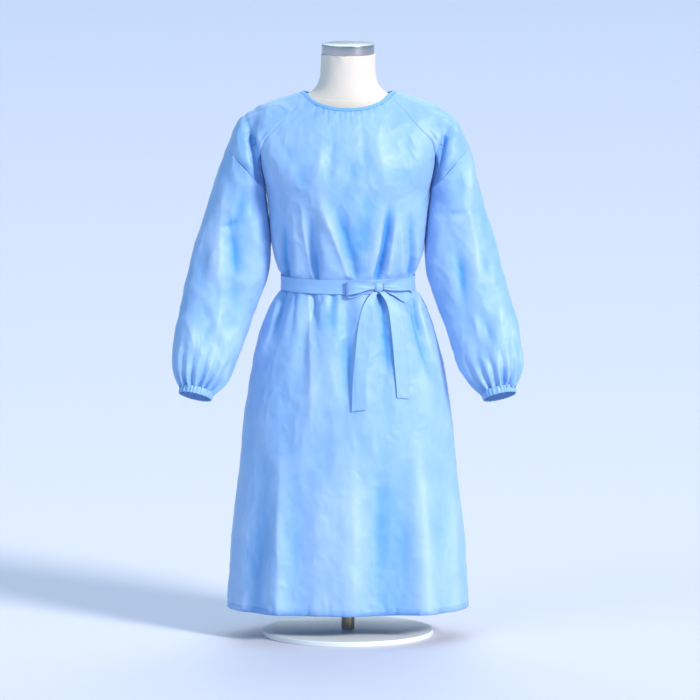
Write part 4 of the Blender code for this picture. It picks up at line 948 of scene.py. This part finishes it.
def grid_mesh(name, points):
    """A closed mesh from a grid of points that wraps both ways."""
    rows, columns = points.shape[:2]
    faces = []
    for i in range(rows):
        row, below = i * columns, (i + 1) % rows * columns
        for j in range(columns):
            beside = (j + 1) % columns
            faces.append((row + j, row + beside, below + beside, below + j))
    mesh = bpy.data.meshes.new(name)
    mesh.from_pydata(points.reshape(-1, 3).tolist(), [], faces)
    work = bmesh.new()
    work.from_mesh(mesh)
    bmesh.ops.recalc_face_normals(work, faces=work.faces)
    if work.calc_volume(signed=True) < 0:
        bmesh.ops.reverse_faces(work, faces=work.faces)
    work.to_mesh(mesh)
    work.free()
    mesh.shade_smooth()
    made = bpy.data.objects.new(name, mesh)
    bpy.context.collection.objects.link(made)
    return made


def cuff_band(side, seed):
    cuff = CUFFS[side]
    random = np.random.RandomState(seed)
    angle = 2 * math.pi * np.arange(CUFF_COLUMNS) / CUFF_COLUMNS
    waver = sum(
        random.uniform(0.01, 0.05) * np.sin(k * angle + random.uniform(0, 6)) for k in (2, 3, 5, 7)
    )
    strength = 1.0 + 0.35 * np.sin(4 * angle + 1.0) * np.sin(9 * angle)
    rings = []
    down = np.linspace(0.0, 1.0, CUFF_ROWS)
    for inner in (False, True):
        for share in down[::-1] if inner else down:
            lean = RIB_LEAN * math.sin(2.2 * math.pi * share)
            ribs = RIB_HEIGHT * strength * np.cos(CUFF_RIBS * (angle + waver) + lean)
            edge = 1.0 - abs(2 * share - 1) ** 6
            radius = cuff.radius - RIB_HEIGHT + ribs * (0.35 + 0.65 * edge)
            radius += CUFF_BULGE * (math.sin(math.pi * share) - 1.0)
            if inner:
                radius = radius - CUFF_WALL * (0.5 + 0.5 * edge)
            along = (2 * share - 1) * cuff.half
            ring = np.cos(angle)[:, None] * cuff.outward + np.sin(angle)[:, None] * cuff.forward
            rings.append(cuff.middle + cuff.down * along + ring * radius[:, None])
    made = grid_mesh("gown_cuff_" + side, np.array(rings))
    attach(made, "root")
    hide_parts("cuff_" + side)
    return made


cuffs = [cuff_band("left", 5), cuff_band("right", 8)]
print("cuffs of", triangles(cuffs[0]), "triangles each")

# %% [markdown]
# The neck binding, the belt and the bow are strips of folded cloth, thick enough to keep the
# model's closed solids. Their long edges stay firm by a crease weight in the subdivision, and the
# rest rounds off. The form's torso is made the same way, as it too is closed and smooth.

# %% Folded bands
EDGE_ANGLE = math.radians(50)  # an edge sharper than this is a fold of the band


def folded_band(node, name, level, firmness, depth_at):
    piece = cage_of(node, name, outside_only=False)
    work = bmesh.new()
    work.from_mesh(piece.data)
    firm = work.edges.layers.float.new("crease_edge")
    for edge in work.edges:
        if edge.calc_face_angle(0.0) > EDGE_ANGLE:
            edge[firm] = firmness
    work.to_mesh(piece.data)
    work.free()
    subdivide_through(piece, level)
    points, normals = points_of(piece.data), normals_of(piece.data)
    set_points(piece.data, points + depth_at(points, normals))
    piece.data.shade_smooth()
    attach(piece, "root")
    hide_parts(node)
    print(name, triangles(piece), "triangles")
    return piece


print("an edge over", round(math.degrees(EDGE_ANGLE)), "degrees stays firm")

# %% [markdown]
# The binding takes up the neckline in small puckers. The belt is slack between its seams, has a
# stitched line near each edge, and is drawn into pleats at the knot. A wave, a narrow groove and a
# few rows of the crease table give these. They stay well under a millimetre, as taped cloth is
# firm.

# %% Binding and belt
BINDING_PUCKERS = 58
PUCKER_HEIGHT = 0.00022
BINDING_UNEVEN = 0.0003
BELT_SLACK = 0.0005
STITCH_DEPTH = 0.00035
STITCH_INSET = 0.0035  # from the belt's edge to its stitches
STITCH_WIDTH = 0.0010
BELT_PLEATS = creases(
    (0.080, 0.795, 0.140, 0.802, 0.0, 0.003, 0.006, 1.0, 0.7, 0.0, 0.0, 0.5),
    (0.080, 0.792, 0.132, 0.788, 0.0, 0.003, 0.005, 0.8, 0.6, 0.0, 0.0, 0.5),
    (0.050, 0.797, -0.020, 0.801, 0.0, 0.003, 0.006, 0.9, 0.6, 0.0, 0.0, 0.5),
)


def outer(points):
    """The way out from the gown's upright axis, level."""
    level = points * np.array((1.0, 1.0, 0.0))
    return level / np.maximum(np.linalg.norm(level, axis=1, keepdims=True), 1e-6)


def binding_shift(points, normals):
    """Small puckers along the binding, where the tape takes up the neckline."""
    angle = np.arctan2(points[:, 1], points[:, 0])
    pucker = PUCKER_HEIGHT * np.sin(BINDING_PUCKERS * angle + 3 * np.sin(5 * angle))
    pucker += BINDING_UNEVEN * soft_noise(points, 0.02, 15)
    return normals * pucker[:, None]


def belt_shift(points, normals):
    """Slack waves along the belt, a stitched line near each edge and pleats drawn to the knot."""
    wave = BELT_SLACK * soft_noise(points, (0.060, 0.060, 0.020), 17)
    inside = BELT_HALF - np.abs(points[:, 2] - BELT_MIDDLE)
    stitch = -STITCH_DEPTH * np.exp(-(((inside - STITCH_INSET) / STITCH_WIDTH) ** 2))
    depth = creased(points, outer(points), BELT_PLEATS, -1)
    return normals * (wave + stitch)[:, None] - outer(points) * depth[:, None]


binding = folded_band("neck_binding", "gown_neck_binding", 3, 0.6, binding_shift)
belt = folded_band("belt", "gown_belt", 3, 0.7, belt_shift)

# %% [markdown]
# The bow is the same strip, tied. Pleats run from the knot into its two loops, and the two tails
# lie on the skirt: they follow its ridges and bridge most of its troughs, so their points move by
# the skirt's own folds, with a share of the troughs taken away.

# %% The bow
BRIDGED = 0.30  # the share of a trough that a tail sinks into
TAIL_SLACK = 0.0004
LOOP_SLACK = 0.0004
KNOT_UNEVEN = 0.0006


def over_skirt(points, normals):
    """A tail lies on the skirt's ridges and bridges most of its troughs."""
    facing = np.tile((0.0, -1.0, 0.0), (len(points), 1))
    depth = body_depth(points, facing)
    depth = np.where(depth > 0, BRIDGED * depth, depth)
    own = TAIL_SLACK * soft_noise(points, (0.030, 0.030, 0.050), 19)
    return -outer(points) * depth[:, None] + normals * own[:, None]


BOW_CREASES = creases(
    (0.058, 0.7955, 0.006, 0.806, 0.000, 0.0016, 0.0050, 1.6, 1.5, 0.2, 0.0, 0.5),
    (0.058, 0.7940, 0.014, 0.799, 0.001, 0.0014, 0.0050, 1.4, 1.4, 0.0, 0.0, 0.6),
    (0.058, 0.7925, 0.010, 0.788, -0.001, 0.0014, 0.0050, 1.4, 1.6, 0.0, 0.0, 0.6),
    (0.058, 0.7910, 0.016, 0.780, 0.000, 0.0016, 0.0050, 1.4, 1.2, 0.2, 0.0, 0.5),
    (0.052, 0.7930, 0.022, 0.793, 0.000, 0.0016, 0.0050, -1.0, -1.6, 0.0, 0.0, 0.5),
    (0.079, 0.7950, 0.124, 0.808, 0.000, 0.0016, 0.0050, 1.5, 1.5, 0.2, 0.0, 0.5),
    (0.079, 0.7935, 0.122, 0.798, 0.000, 0.0014, 0.0050, 1.4, 1.4, 0.0, 0.0, 0.6),
    (0.079, 0.7915, 0.120, 0.786, 0.000, 0.0014, 0.0050, 1.5, 1.4, 0.0, 0.0, 0.6),
    (0.084, 0.7930, 0.112, 0.792, 0.000, 0.0016, 0.0045, -1.0, -1.4, 0.0, 0.0, 0.5),
    (0.080, 0.7890, 0.128, 0.768, 0.000, 0.0016, 0.0050, 1.3, 1.2, 0.0, 0.0, 0.5),
)


def bow_shift(points, normals):
    """Pleats that run from the knot into the loops, and a little slackness."""
    depth = creased(points, outer(points), BOW_CREASES, -1)
    slack = LOOP_SLACK * soft_noise(points, 0.022, 23)
    return -outer(points) * depth[:, None] + normals * slack[:, None]


def knot_shift(points, normals):
    depth = KNOT_UNEVEN * soft_noise(points, (0.006, 0.010, 0.012), 27)
    return normals * depth[:, None]


tails = []
for side in CUFFS:
    tail = "belt_tail_" + side
    tails.append(folded_band(tail, "gown_" + tail, 3, 0.7, over_skirt))
loops = []
for side in CUFFS:
    loop = "bow_loop_" + side
    loops.append(folded_band(loop, "gown_" + loop, 3, 0.6, bow_shift))
knot = folded_band("bow_knot", "gown_bow_knot", 2, 0.0, knot_shift)

# %% [markdown]
# The dress form is a padded torso in a tight ivory cover. Only its neck shows, with a seam round
# its foot, but the whole torso is smoothed, because it can be seen from below and behind.

# %% The form
NECK_SEAM_Z = 1.212
NECK_SEAM_TILT = 0.10
NECK_SEAM_DEPTH = 0.0005
NECK_SEAM_WIDTH = 0.0011
FORM_FIRMNESS = 0.8


def form_shift(points, normals):
    seam = points[:, 2] - NECK_SEAM_Z - NECK_SEAM_TILT * points[:, 1]
    groove = -NECK_SEAM_DEPTH * np.exp(-((seam / NECK_SEAM_WIDTH) ** 2))
    return normals * groove[:, None]


form = folded_band("form_torso", "form_cover_torso", 3, FORM_FIRMNESS, form_shift)

# %% [markdown]
# The neck cap, the pole and the plate are turned parts. A profile of radius and height, turned
# round the upright axis in small steps, gives rounder edges than the model's solids have.

# %% Turned parts
TURNS = 128
EDGE_STEPS = 6
SHARP_ANGLE = math.radians(35)


def turned_part(node, name, edge, dome=0.0):
    low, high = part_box(node)
    radius = (high.x - low.x) / 2
    flat, top = radius - edge, high.z - edge - dome
    profile = [(0.0, low.z)]
    for a in np.linspace(0.0, math.pi / 2, EDGE_STEPS):
        profile.append((flat + edge * math.sin(a), low.z + edge - edge * math.cos(a)))
    for a in np.linspace(0.0, math.pi / 2, EDGE_STEPS):
        profile.append((flat + edge * math.cos(a), top + edge * math.sin(a)))
    profile.append((0.0, high.z))
    points = []
    faces = []
    for r, z in profile[1:-1]:
        for i in range(TURNS):
            a = 2 * math.pi * i / TURNS
            points.append((r * math.cos(a), r * math.sin(a), z))
    rings = len(profile) - 2
    for j in range(rings - 1):
        for i in range(TURNS):
            k = (i + 1) % TURNS
            faces.append((j * TURNS + i, j * TURNS + k, (j + 1) * TURNS + k, (j + 1) * TURNS + i))
    points += [(0.0, 0.0, profile[0][1]), (0.0, 0.0, profile[-1][1])]
    for i in range(TURNS):
        k = (i + 1) % TURNS
        faces.append((k, i, len(points) - 2))
        faces.append(((rings - 1) * TURNS + i, (rings - 1) * TURNS + k, len(points) - 1))
    mesh = bpy.data.meshes.new(name)
    mesh.from_pydata(points, [], faces)
    mesh.shade_smooth()
    mesh.set_sharp_from_angle(angle=SHARP_ANGLE)
    made = bpy.data.objects.new(name, mesh)
    bpy.context.collection.objects.link(made)
    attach(made, "root")
    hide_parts(node)
    return made


cap = turned_part("neck_cap", "form_neck_cap", 0.0015, dome=0.0008)
pole = turned_part("pole", "form_pole", 0.0010)
plate = turned_part("base_plate", "form_base_plate", 0.0020)
print("turned parts of", triangles(cap), "triangles each")

# %% [markdown]
# Materials are built from small functions: one makes a node group with named sockets, one adds a
# node with its values, and one opens a material at its Principled shader. In Blender 4.5 a group's
# sockets belong to its interface, and the group's own input and output nodes then show them.

# %% Making nodes
def new_group(name, inputs, outputs):
    group = bpy.data.node_groups.new(name, "ShaderNodeTree")
    for label, kind, value in inputs:
        socket = group.interface.new_socket(label, in_out="INPUT", socket_type=kind)
        socket.default_value = value
    for label, kind in outputs:
        group.interface.new_socket(label, in_out="OUTPUT", socket_type=kind)
    return group, group.nodes.new("NodeGroupInput"), group.nodes.new("NodeGroupOutput")


def add_node(tree, kind, values=(), **settings):
    node = tree.nodes.new(kind)
    for key, value in settings.items():
        setattr(node, key, value)
    for label, value in values:
        node.inputs[label].default_value = value
    return node


def principled(name):
    made = bpy.data.materials.new(name)
    made.use_nodes = True
    return made, made.node_tree, made.node_tree.nodes["Principled BSDF"]


def dress(pieces, finish):
    """Gives pieces one material, in place of what they have."""
    for piece in pieces:
        piece.data.materials.clear()
        piece.data.materials.append(finish)


cloth_pieces = [*panels, *cuffs, binding, belt, *tails, *loops, knot]
print(len(cloth_pieces), "pieces of cloth and", len((form, cap, pole, plate)), "of the form to dress")

# %% [markdown]
# Spun nonwoven cloth is a felt of fine fibres, pressed together in tiny points: close up it is
# mottled and slightly rough, and from afar it has a soft sheen. Handling leaves it crinkled, which
# ridged noise imitates, as its ridges run on and branch like creases in paper. One node group
# makes all that for every blue piece. Its inputs are the cloth's colour and a second one that
# mottles it, a painted shade colour for the troughs of folds and a painted highlight colour for
# their ridges, how deep in a fold a point lies, the size and strength of the mottling, and how high
# crinkles and fibres stand, in millimetres. It gives a colour, a roughness and a height, which a
# Bump node in the material turns to a normal.

# %% Nonwoven cloth as a node group
FIBRE_SCALE = 900.0
BOND_SCALE = 620.0
CRINKLE_SCALE = 30.0


def nonwoven_group():
    colour, number = "NodeSocketColor", "NodeSocketFloat"
    group, given, result = new_group(
        "nonwoven_surface",
        [
            ("Colour", colour, (0.2, 0.5, 0.95, 1.0)),
            ("Mottle Colour", colour, (0.2, 0.4, 0.85, 1.0)),
            ("Painted Shade Colour", colour, (0.1, 0.35, 0.9, 1.0)),
            ("Painted Highlight Colour", colour, (0.4, 0.65, 0.95, 1.0)),
            ("Fold", number, 0.0),
            ("Mottle Scale", number, 18.0),
            ("Mottle Strength", number, 0.5),
            ("Crinkle Height", number, 0.8),
            ("Fibre Height", number, 0.03),
        ],
        [("Colour", colour), ("Roughness", number), ("Height", number)],
    )
    link = group.links.new
    place = add_node(group, "ShaderNodeTexCoord")
    mottle = add_node(group, "ShaderNodeTexNoise", [("Detail", 5.0), ("Roughness", 0.55)])
    fibres = add_node(group, "ShaderNodeTexNoise", [("Scale", FIBRE_SCALE), ("Detail", 3.0)])
    bonds = add_node(group, "ShaderNodeTexVoronoi", [("Scale", BOND_SCALE)])
    crinkles = add_node(
        group, "ShaderNodeTexNoise",
        [("Scale", CRINKLE_SCALE), ("Detail", 3.0), ("Roughness", 0.5), ("Distortion", 0.4)],
        noise_type="RIDGED_MULTIFRACTAL", normalize=True,
    )
    spread = add_node(
        group, "ShaderNodeMapRange",
        [("From Min", 0.38), ("From Max", 0.66), ("To Min", 0.0), ("To Max", 1.0)],
    )
    amount = add_node(group, "ShaderNodeMath", operation="MULTIPLY")
    mixed = add_node(group, "ShaderNodeMix", data_type="RGBA")
    # By the fold's depth, troughs get a painted shade colour and ridges a painted highlight colour.
    trough = add_node(group, "ShaderNodeMapRange", interpolation_type="SMOOTHSTEP")
    painted_shade_mix = add_node(group, "ShaderNodeMix", data_type="RGBA")
    ridge = add_node(group, "ShaderNodeMapRange", [("From Max", -1.0), ("To Max", 0.8)])
    painted_highlight_mix = add_node(group, "ShaderNodeMix", data_type="RGBA")
    rough = add_node(group, "ShaderNodeMapRange", [("To Min", 0.46), ("To Max", 0.62)])
    low = add_node(group, "ShaderNodeMath", operation="MULTIPLY")
    height = add_node(group, "ShaderNodeMath", operation="MULTIPLY_ADD")
    creased_height = add_node(group, "ShaderNodeMath", operation="MULTIPLY_ADD")
    for texture in (mottle, fibres, bonds, crinkles):
        link(place.outputs["Object"], texture.inputs["Vector"])
    link(given.outputs["Mottle Scale"], mottle.inputs["Scale"])
    link(mottle.outputs["Fac"], spread.inputs["Value"])
    link(spread.outputs["Result"], amount.inputs[0])
    link(given.outputs["Mottle Strength"], amount.inputs[1])
    link(amount.outputs["Value"], mixed.inputs["Factor"])
    link(given.outputs["Colour"], mixed.inputs["A"])
    link(given.outputs["Mottle Colour"], mixed.inputs["B"])
    link(given.outputs["Fold"], trough.inputs["Value"])
    link(given.outputs["Fold"], ridge.inputs["Value"])
    link(trough.outputs["Result"], painted_shade_mix.inputs["Factor"])
    link(mixed.outputs["Result"], painted_shade_mix.inputs["A"])
    link(given.outputs["Painted Shade Colour"], painted_shade_mix.inputs["B"])
    link(ridge.outputs["Result"], painted_highlight_mix.inputs["Factor"])
    link(painted_shade_mix.outputs["Result"], painted_highlight_mix.inputs["A"])
    link(given.outputs["Painted Highlight Colour"], painted_highlight_mix.inputs["B"])
    link(painted_highlight_mix.outputs["Result"], result.inputs["Colour"])
    link(fibres.outputs["Fac"], rough.inputs["Value"])
    link(rough.outputs["Result"], result.inputs["Roughness"])
    link(bonds.outputs["Distance"], low.inputs[0])
    link(given.outputs["Fibre Height"], low.inputs[1])
    link(fibres.outputs["Fac"], height.inputs[0])
    link(given.outputs["Fibre Height"], height.inputs[1])
    link(low.outputs["Value"], height.inputs[2])
    link(crinkles.outputs["Fac"], creased_height.inputs[0])
    link(given.outputs["Crinkle Height"], creased_height.inputs[1])
    link(height.outputs["Value"], creased_height.inputs[2])
    link(creased_height.outputs["Value"], result.inputs["Height"])
    return group


NONWOVEN = nonwoven_group()
sockets = NONWOVEN.interface.items_tree
print("group outputs:", [socket.name for socket in sockets if socket.in_out == "OUTPUT"])

# %% [markdown]
# The gown's blue is one dye, so its materials differ little: the binding is darker because the tape
# is folded double, and the hem is darker for the same reason. The hem's band is found by height in
# the cloth's own coordinates. Only the panels read their folds' depth, as only they keep it, and it
# paints shade into their troughs and a highlight onto their ridges. Sheen, which makes felted cloth
# pale at its edges, is the same all over and is set on the shader itself.

# %% Cloth materials
MILLIMETRE = 0.001
GOWN_COLOUR = (0.260, 0.460, 0.810)
GOWN_MOTTLE = (0.185, 0.400, 0.780)
# Painted shade for the troughs of the panels' folds, and a painted highlight for their ridges.
GOWN_PAINTED_SHADE = (0.070, 0.320, 0.740)
GOWN_PAINTED_HIGHLIGHT = (0.430, 0.600, 0.880)
BINDING_COLOUR = (0.165, 0.415, 0.850)
BINDING_MOTTLE = (0.125, 0.350, 0.800)
HEM_TINT = (0.72, 0.83, 0.96, 1.0)
HEM_LINE_HALF = 0.0004  # half the height over which the hem's tint sets in
MOTTLE_SCALE = 22.0
FIBRE_HEIGHT = 0.03  # millimetres
SHEEN_TINT = (0.85, 0.93, 1.0, 1.0)


def hem_tint(tree, colour_from):
    """Multiplies a colour by the hem's tint below the line of its stitches."""
    place = add_node(tree, "ShaderNodeTexCoord")
    split = add_node(tree, "ShaderNodeSeparateXYZ")
    line = HEM_Z + HEM_HEIGHT
    ends = [("From Min", line + HEM_LINE_HALF), ("From Max", line - HEM_LINE_HALF)]
    band = add_node(tree, "ShaderNodeMapRange", ends)
    darker = add_node(tree, "ShaderNodeMix", data_type="RGBA", blend_type="MULTIPLY")
    darker.inputs["B"].default_value = HEM_TINT
    tree.links.new(place.outputs["Object"], split.inputs["Vector"])
    tree.links.new(split.outputs["Z"], band.inputs["Value"])
    tree.links.new(band.outputs["Result"], darker.inputs["Factor"])
    tree.links.new(colour_from, darker.inputs["A"])
    return darker.outputs["Result"]


def nonwoven(name, colour, mottled, mottle=0.5, crinkle=2.2, panel=False):
    """The blue cloth. Crinkle is the height of its creases in millimetres."""
    made, tree, shader = principled(name)
    surface = add_node(tree, "ShaderNodeGroup", node_tree=NONWOVEN)
    surface.inputs["Colour"].default_value = (*colour, 1.0)
    surface.inputs["Mottle Colour"].default_value = (*mottled, 1.0)
    surface.inputs["Painted Shade Colour"].default_value = (*GOWN_PAINTED_SHADE, 1.0)
    surface.inputs["Painted Highlight Colour"].default_value = (*GOWN_PAINTED_HIGHLIGHT, 1.0)
    surface.inputs["Mottle Scale"].default_value = MOTTLE_SCALE
    surface.inputs["Mottle Strength"].default_value = mottle
    surface.inputs["Crinkle Height"].default_value = crinkle
    surface.inputs["Fibre Height"].default_value = FIBRE_HEIGHT
    relief = add_node(tree, "ShaderNodeBump", [("Strength", 1.0), ("Distance", MILLIMETRE)])
    tree.links.new(surface.outputs["Height"], relief.inputs["Height"])
    tree.links.new(relief.outputs["Normal"], shader.inputs["Normal"])
    tree.links.new(surface.outputs["Roughness"], shader.inputs["Roughness"])
    colour_from = surface.outputs["Colour"]
    # The panels' fold depth paints shade into troughs and a highlight onto ridges.
    if panel:
        fold = add_node(tree, "ShaderNodeAttribute", attribute_name="fold")
        tree.links.new(fold.outputs["Fac"], surface.inputs["Fold"])
        colour_from = hem_tint(tree, colour_from)
    tree.links.new(colour_from, shader.inputs["Base Color"])
    shader.inputs["Sheen Weight"].default_value = 0.30
    shader.inputs["Sheen Roughness"].default_value = 0.45
    shader.inputs["Sheen Tint"].default_value = SHEEN_TINT
    shader.inputs["Specular IOR Level"].default_value = 0.70
    return made


gown_cloth_with_painted_shade = nonwoven("gown_cloth_blue_with_painted_shade", GOWN_COLOUR, GOWN_MOTTLE, panel=True)
cuff_cloth = nonwoven("gown_cuff_blue", GOWN_COLOUR, GOWN_MOTTLE, mottle=0.7, crinkle=0.6)
belt_cloth = nonwoven("gown_belt_blue", GOWN_COLOUR, GOWN_MOTTLE, mottle=0.35, crinkle=0.8)
binding_cloth = nonwoven("gown_binding_blue", BINDING_COLOUR, BINDING_MOTTLE, mottle=0.4, crinkle=0.2)
dress(panels, gown_cloth_with_painted_shade)
dress(cuffs, cuff_cloth)
dress([belt, knot, *tails, *loops], belt_cloth)
dress([binding], binding_cloth)
print("cloth materials:", [m.name for m in (gown_cloth_with_painted_shade, cuff_cloth, belt_cloth, binding_cloth)])

# %% [markdown]
# The form's cover is a tight knit in ivory, with a grain too fine to see from a step away. The cap
# is turned steel: fine rings round its axis stretch its highlights, which a noise drawn out round
# the axis gives. The pole is satin brass, and the plate is painted white.

# %% Materials of the form
IVORY = (0.77, 0.70, 0.64)
IVORY_WARM = (0.70, 0.62, 0.55)
STEEL = (0.52, 0.52, 0.54)
BRASS = (0.60, 0.47, 0.33)
WHITE_PAINT = (0.84, 0.86, 0.88)
RING_STRETCH = (1.0, 1.0, 60.0)


def form_cover():
    made, tree, shader = principled("form_cover_ivory")
    place = add_node(tree, "ShaderNodeTexCoord")
    tone = add_node(tree, "ShaderNodeTexNoise", [("Scale", 9.0), ("Detail", 3.0)])
    grain = add_node(tree, "ShaderNodeTexNoise", [("Scale", 1400.0), ("Detail", 2.0)])
    mixed = add_node(tree, "ShaderNodeMix", data_type="RGBA")
    mixed.inputs["A"].default_value = (*IVORY, 1.0)
    mixed.inputs["B"].default_value = (*IVORY_WARM, 1.0)
    rough = add_node(tree, "ShaderNodeMapRange", [("To Min", 0.60), ("To Max", 0.78)])
    relief = add_node(tree, "ShaderNodeBump", [("Strength", 0.3), ("Distance", 0.0002)])
    for texture in (tone, grain):
        tree.links.new(place.outputs["Object"], texture.inputs["Vector"])
    tree.links.new(tone.outputs["Fac"], mixed.inputs["Factor"])
    tree.links.new(mixed.outputs["Result"], shader.inputs["Base Color"])
    tree.links.new(grain.outputs["Fac"], rough.inputs["Value"])
    tree.links.new(rough.outputs["Result"], shader.inputs["Roughness"])
    tree.links.new(grain.outputs["Fac"], relief.inputs["Height"])
    tree.links.new(relief.outputs["Normal"], shader.inputs["Normal"])
    shader.inputs["Sheen Weight"].default_value = 0.2
    return made


def turned_metal(name, colour, metallic, rough_low, rough_high, scale):
    made, tree, shader = principled(name)
    place = add_node(tree, "ShaderNodeTexCoord")
    stretch = add_node(tree, "ShaderNodeMapping", [("Scale", RING_STRETCH)])
    rings = add_node(tree, "ShaderNodeTexNoise", [("Scale", scale), ("Detail", 4.0)])
    tone = add_node(tree, "ShaderNodeMix", data_type="RGBA")
    tone.inputs["A"].default_value = (*[0.86 * c for c in colour], 1.0)
    tone.inputs["B"].default_value = (*colour, 1.0)
    rough = add_node(tree, "ShaderNodeMapRange", [("To Min", rough_low), ("To Max", rough_high)])
    relief = add_node(tree, "ShaderNodeBump", [("Strength", 0.12), ("Distance", 0.0001)])
    tree.links.new(place.outputs["Object"], stretch.inputs["Vector"])
    tree.links.new(stretch.outputs["Vector"], rings.inputs["Vector"])
    tree.links.new(rings.outputs["Fac"], tone.inputs["Factor"])
    tree.links.new(tone.outputs["Result"], shader.inputs["Base Color"])
    tree.links.new(rings.outputs["Fac"], rough.inputs["Value"])
    tree.links.new(rough.outputs["Result"], shader.inputs["Roughness"])
    tree.links.new(rings.outputs["Fac"], relief.inputs["Height"])
    tree.links.new(relief.outputs["Normal"], shader.inputs["Normal"])
    shader.inputs["Metallic"].default_value = metallic
    return made


dress([form], form_cover())
dress([cap], turned_metal("cap_steel", STEEL, 1.0, 0.16, 0.34, 14.0))
dress([pole], turned_metal("pole_brass", BRASS, 1.0, 0.24, 0.42, 10.0))
dress([plate], turned_metal("plate_white", WHITE_PAINT, 0.0, 0.34, 0.46, 3.0))
print("form materials on", [piece.name for piece in (form, cap, pole, plate)])

# %% [markdown]
# The floor is plain. Its colour runs from a pale one at the gown to a bluer, darker one far behind
# it, read from the floor's own coordinates: painted shade, so that the picture is deeper at the top,
# as a studio's backdrop is where less light falls.

# %% The floor's colour and its painted shade
def pale_floor_with_painted_shade():
    made, tree, shader = principled("floor_pale_painted_shade")
    place = add_node(tree, "ShaderNodeTexCoord")
    split = add_node(tree, "ShaderNodeSeparateXYZ")
    behind = add_node(tree, "ShaderNodeMapRange", [("From Min", 0.0), ("From Max", FLOOR_PAINTED_SHADE_DISTANCE)])
    # The floor's colour darkens with distance behind the gown: painted shade.
    tone = add_node(tree, "ShaderNodeMix", data_type="RGBA")
    tone.inputs["A"].default_value = (*FLOOR_COLOUR, 1.0)
    tone.inputs["B"].default_value = (*FLOOR_FAR_PAINTED_SHADE, 1.0)
    tree.links.new(place.outputs["Object"], split.inputs["Vector"])
    tree.links.new(split.outputs["Y"], behind.inputs["Value"])
    tree.links.new(behind.outputs["Result"], tone.inputs["Factor"])
    tree.links.new(tone.outputs["Result"], shader.inputs["Base Color"])
    shader.inputs["Roughness"].default_value = 0.6
    shader.inputs["Specular IOR Level"].default_value = 0.2
    return made


dress([floor], pale_floor_with_painted_shade())
print("floor deepens over", FLOOR_PAINTED_SHADE_DISTANCE, "m")

# %% [markdown]
# Each piece of cloth but the knot is listed with the size of its cut: the width and length of the
# flat piece before it was sewn, all round for a tube, and its area where the cut isn't a rectangle.
# Measuring what shows against it tells whether a panel has grown or shrunk under its folds.

# %% Cloth cuts
SHEET_CUTS = {
    # piece: width, length, flat area (None for a rectangle), how it is held
    "gown_front": (0.74, 1.17, 0.680, "hung"),
    "gown_back_left": (0.43, 1.17, 0.400, "hung"),
    "gown_back_right": (0.43, 1.17, 0.400, "hung"),
    "gown_shoulder_left": (0.20, 0.40, 0.055, "draped"),
    "gown_shoulder_right": (0.20, 0.40, 0.055, "draped"),
    "gown_sleeve_left": (0.52, 0.57, 0.245, "hung"),
    "gown_sleeve_right": (0.50, 0.57, 0.240, "hung"),
    "gown_cuff_left": (0.28, 0.020, None, "gathered"),
    "gown_cuff_right": (0.28, 0.020, None, "gathered"),
    "gown_neck_binding": (0.61, 0.012, None, "folded"),
    "gown_belt": (0.83, 0.032, None, "folded"),
    "gown_belt_tail_left": (0.030, 0.270, None, "hung"),
    "gown_belt_tail_right": (0.030, 0.245, None, "hung"),
    "gown_bow_loop_left": (0.034, 0.100, None, "folded"),
    "gown_bow_loop_right": (0.034, 0.125, None, "folded"),
}


def shown_area(piece):
    """The area of one face of the cloth: half of a closed shell's."""
    return sum(face.area for face in piece.data.polygons) / 2


for piece in cloth_pieces:
    # it has no row of its own in the table
    if piece is knot:
        continue  # it is declared with the belt
    width, length, cut_area, held = SHEET_CUTS[piece.name]
    share = shown_area(piece) / (cut_area or width * length)
    print(piece.name, "shows", round(shown_area(piece), 4), "m2,", round(share, 2), "of its cut")
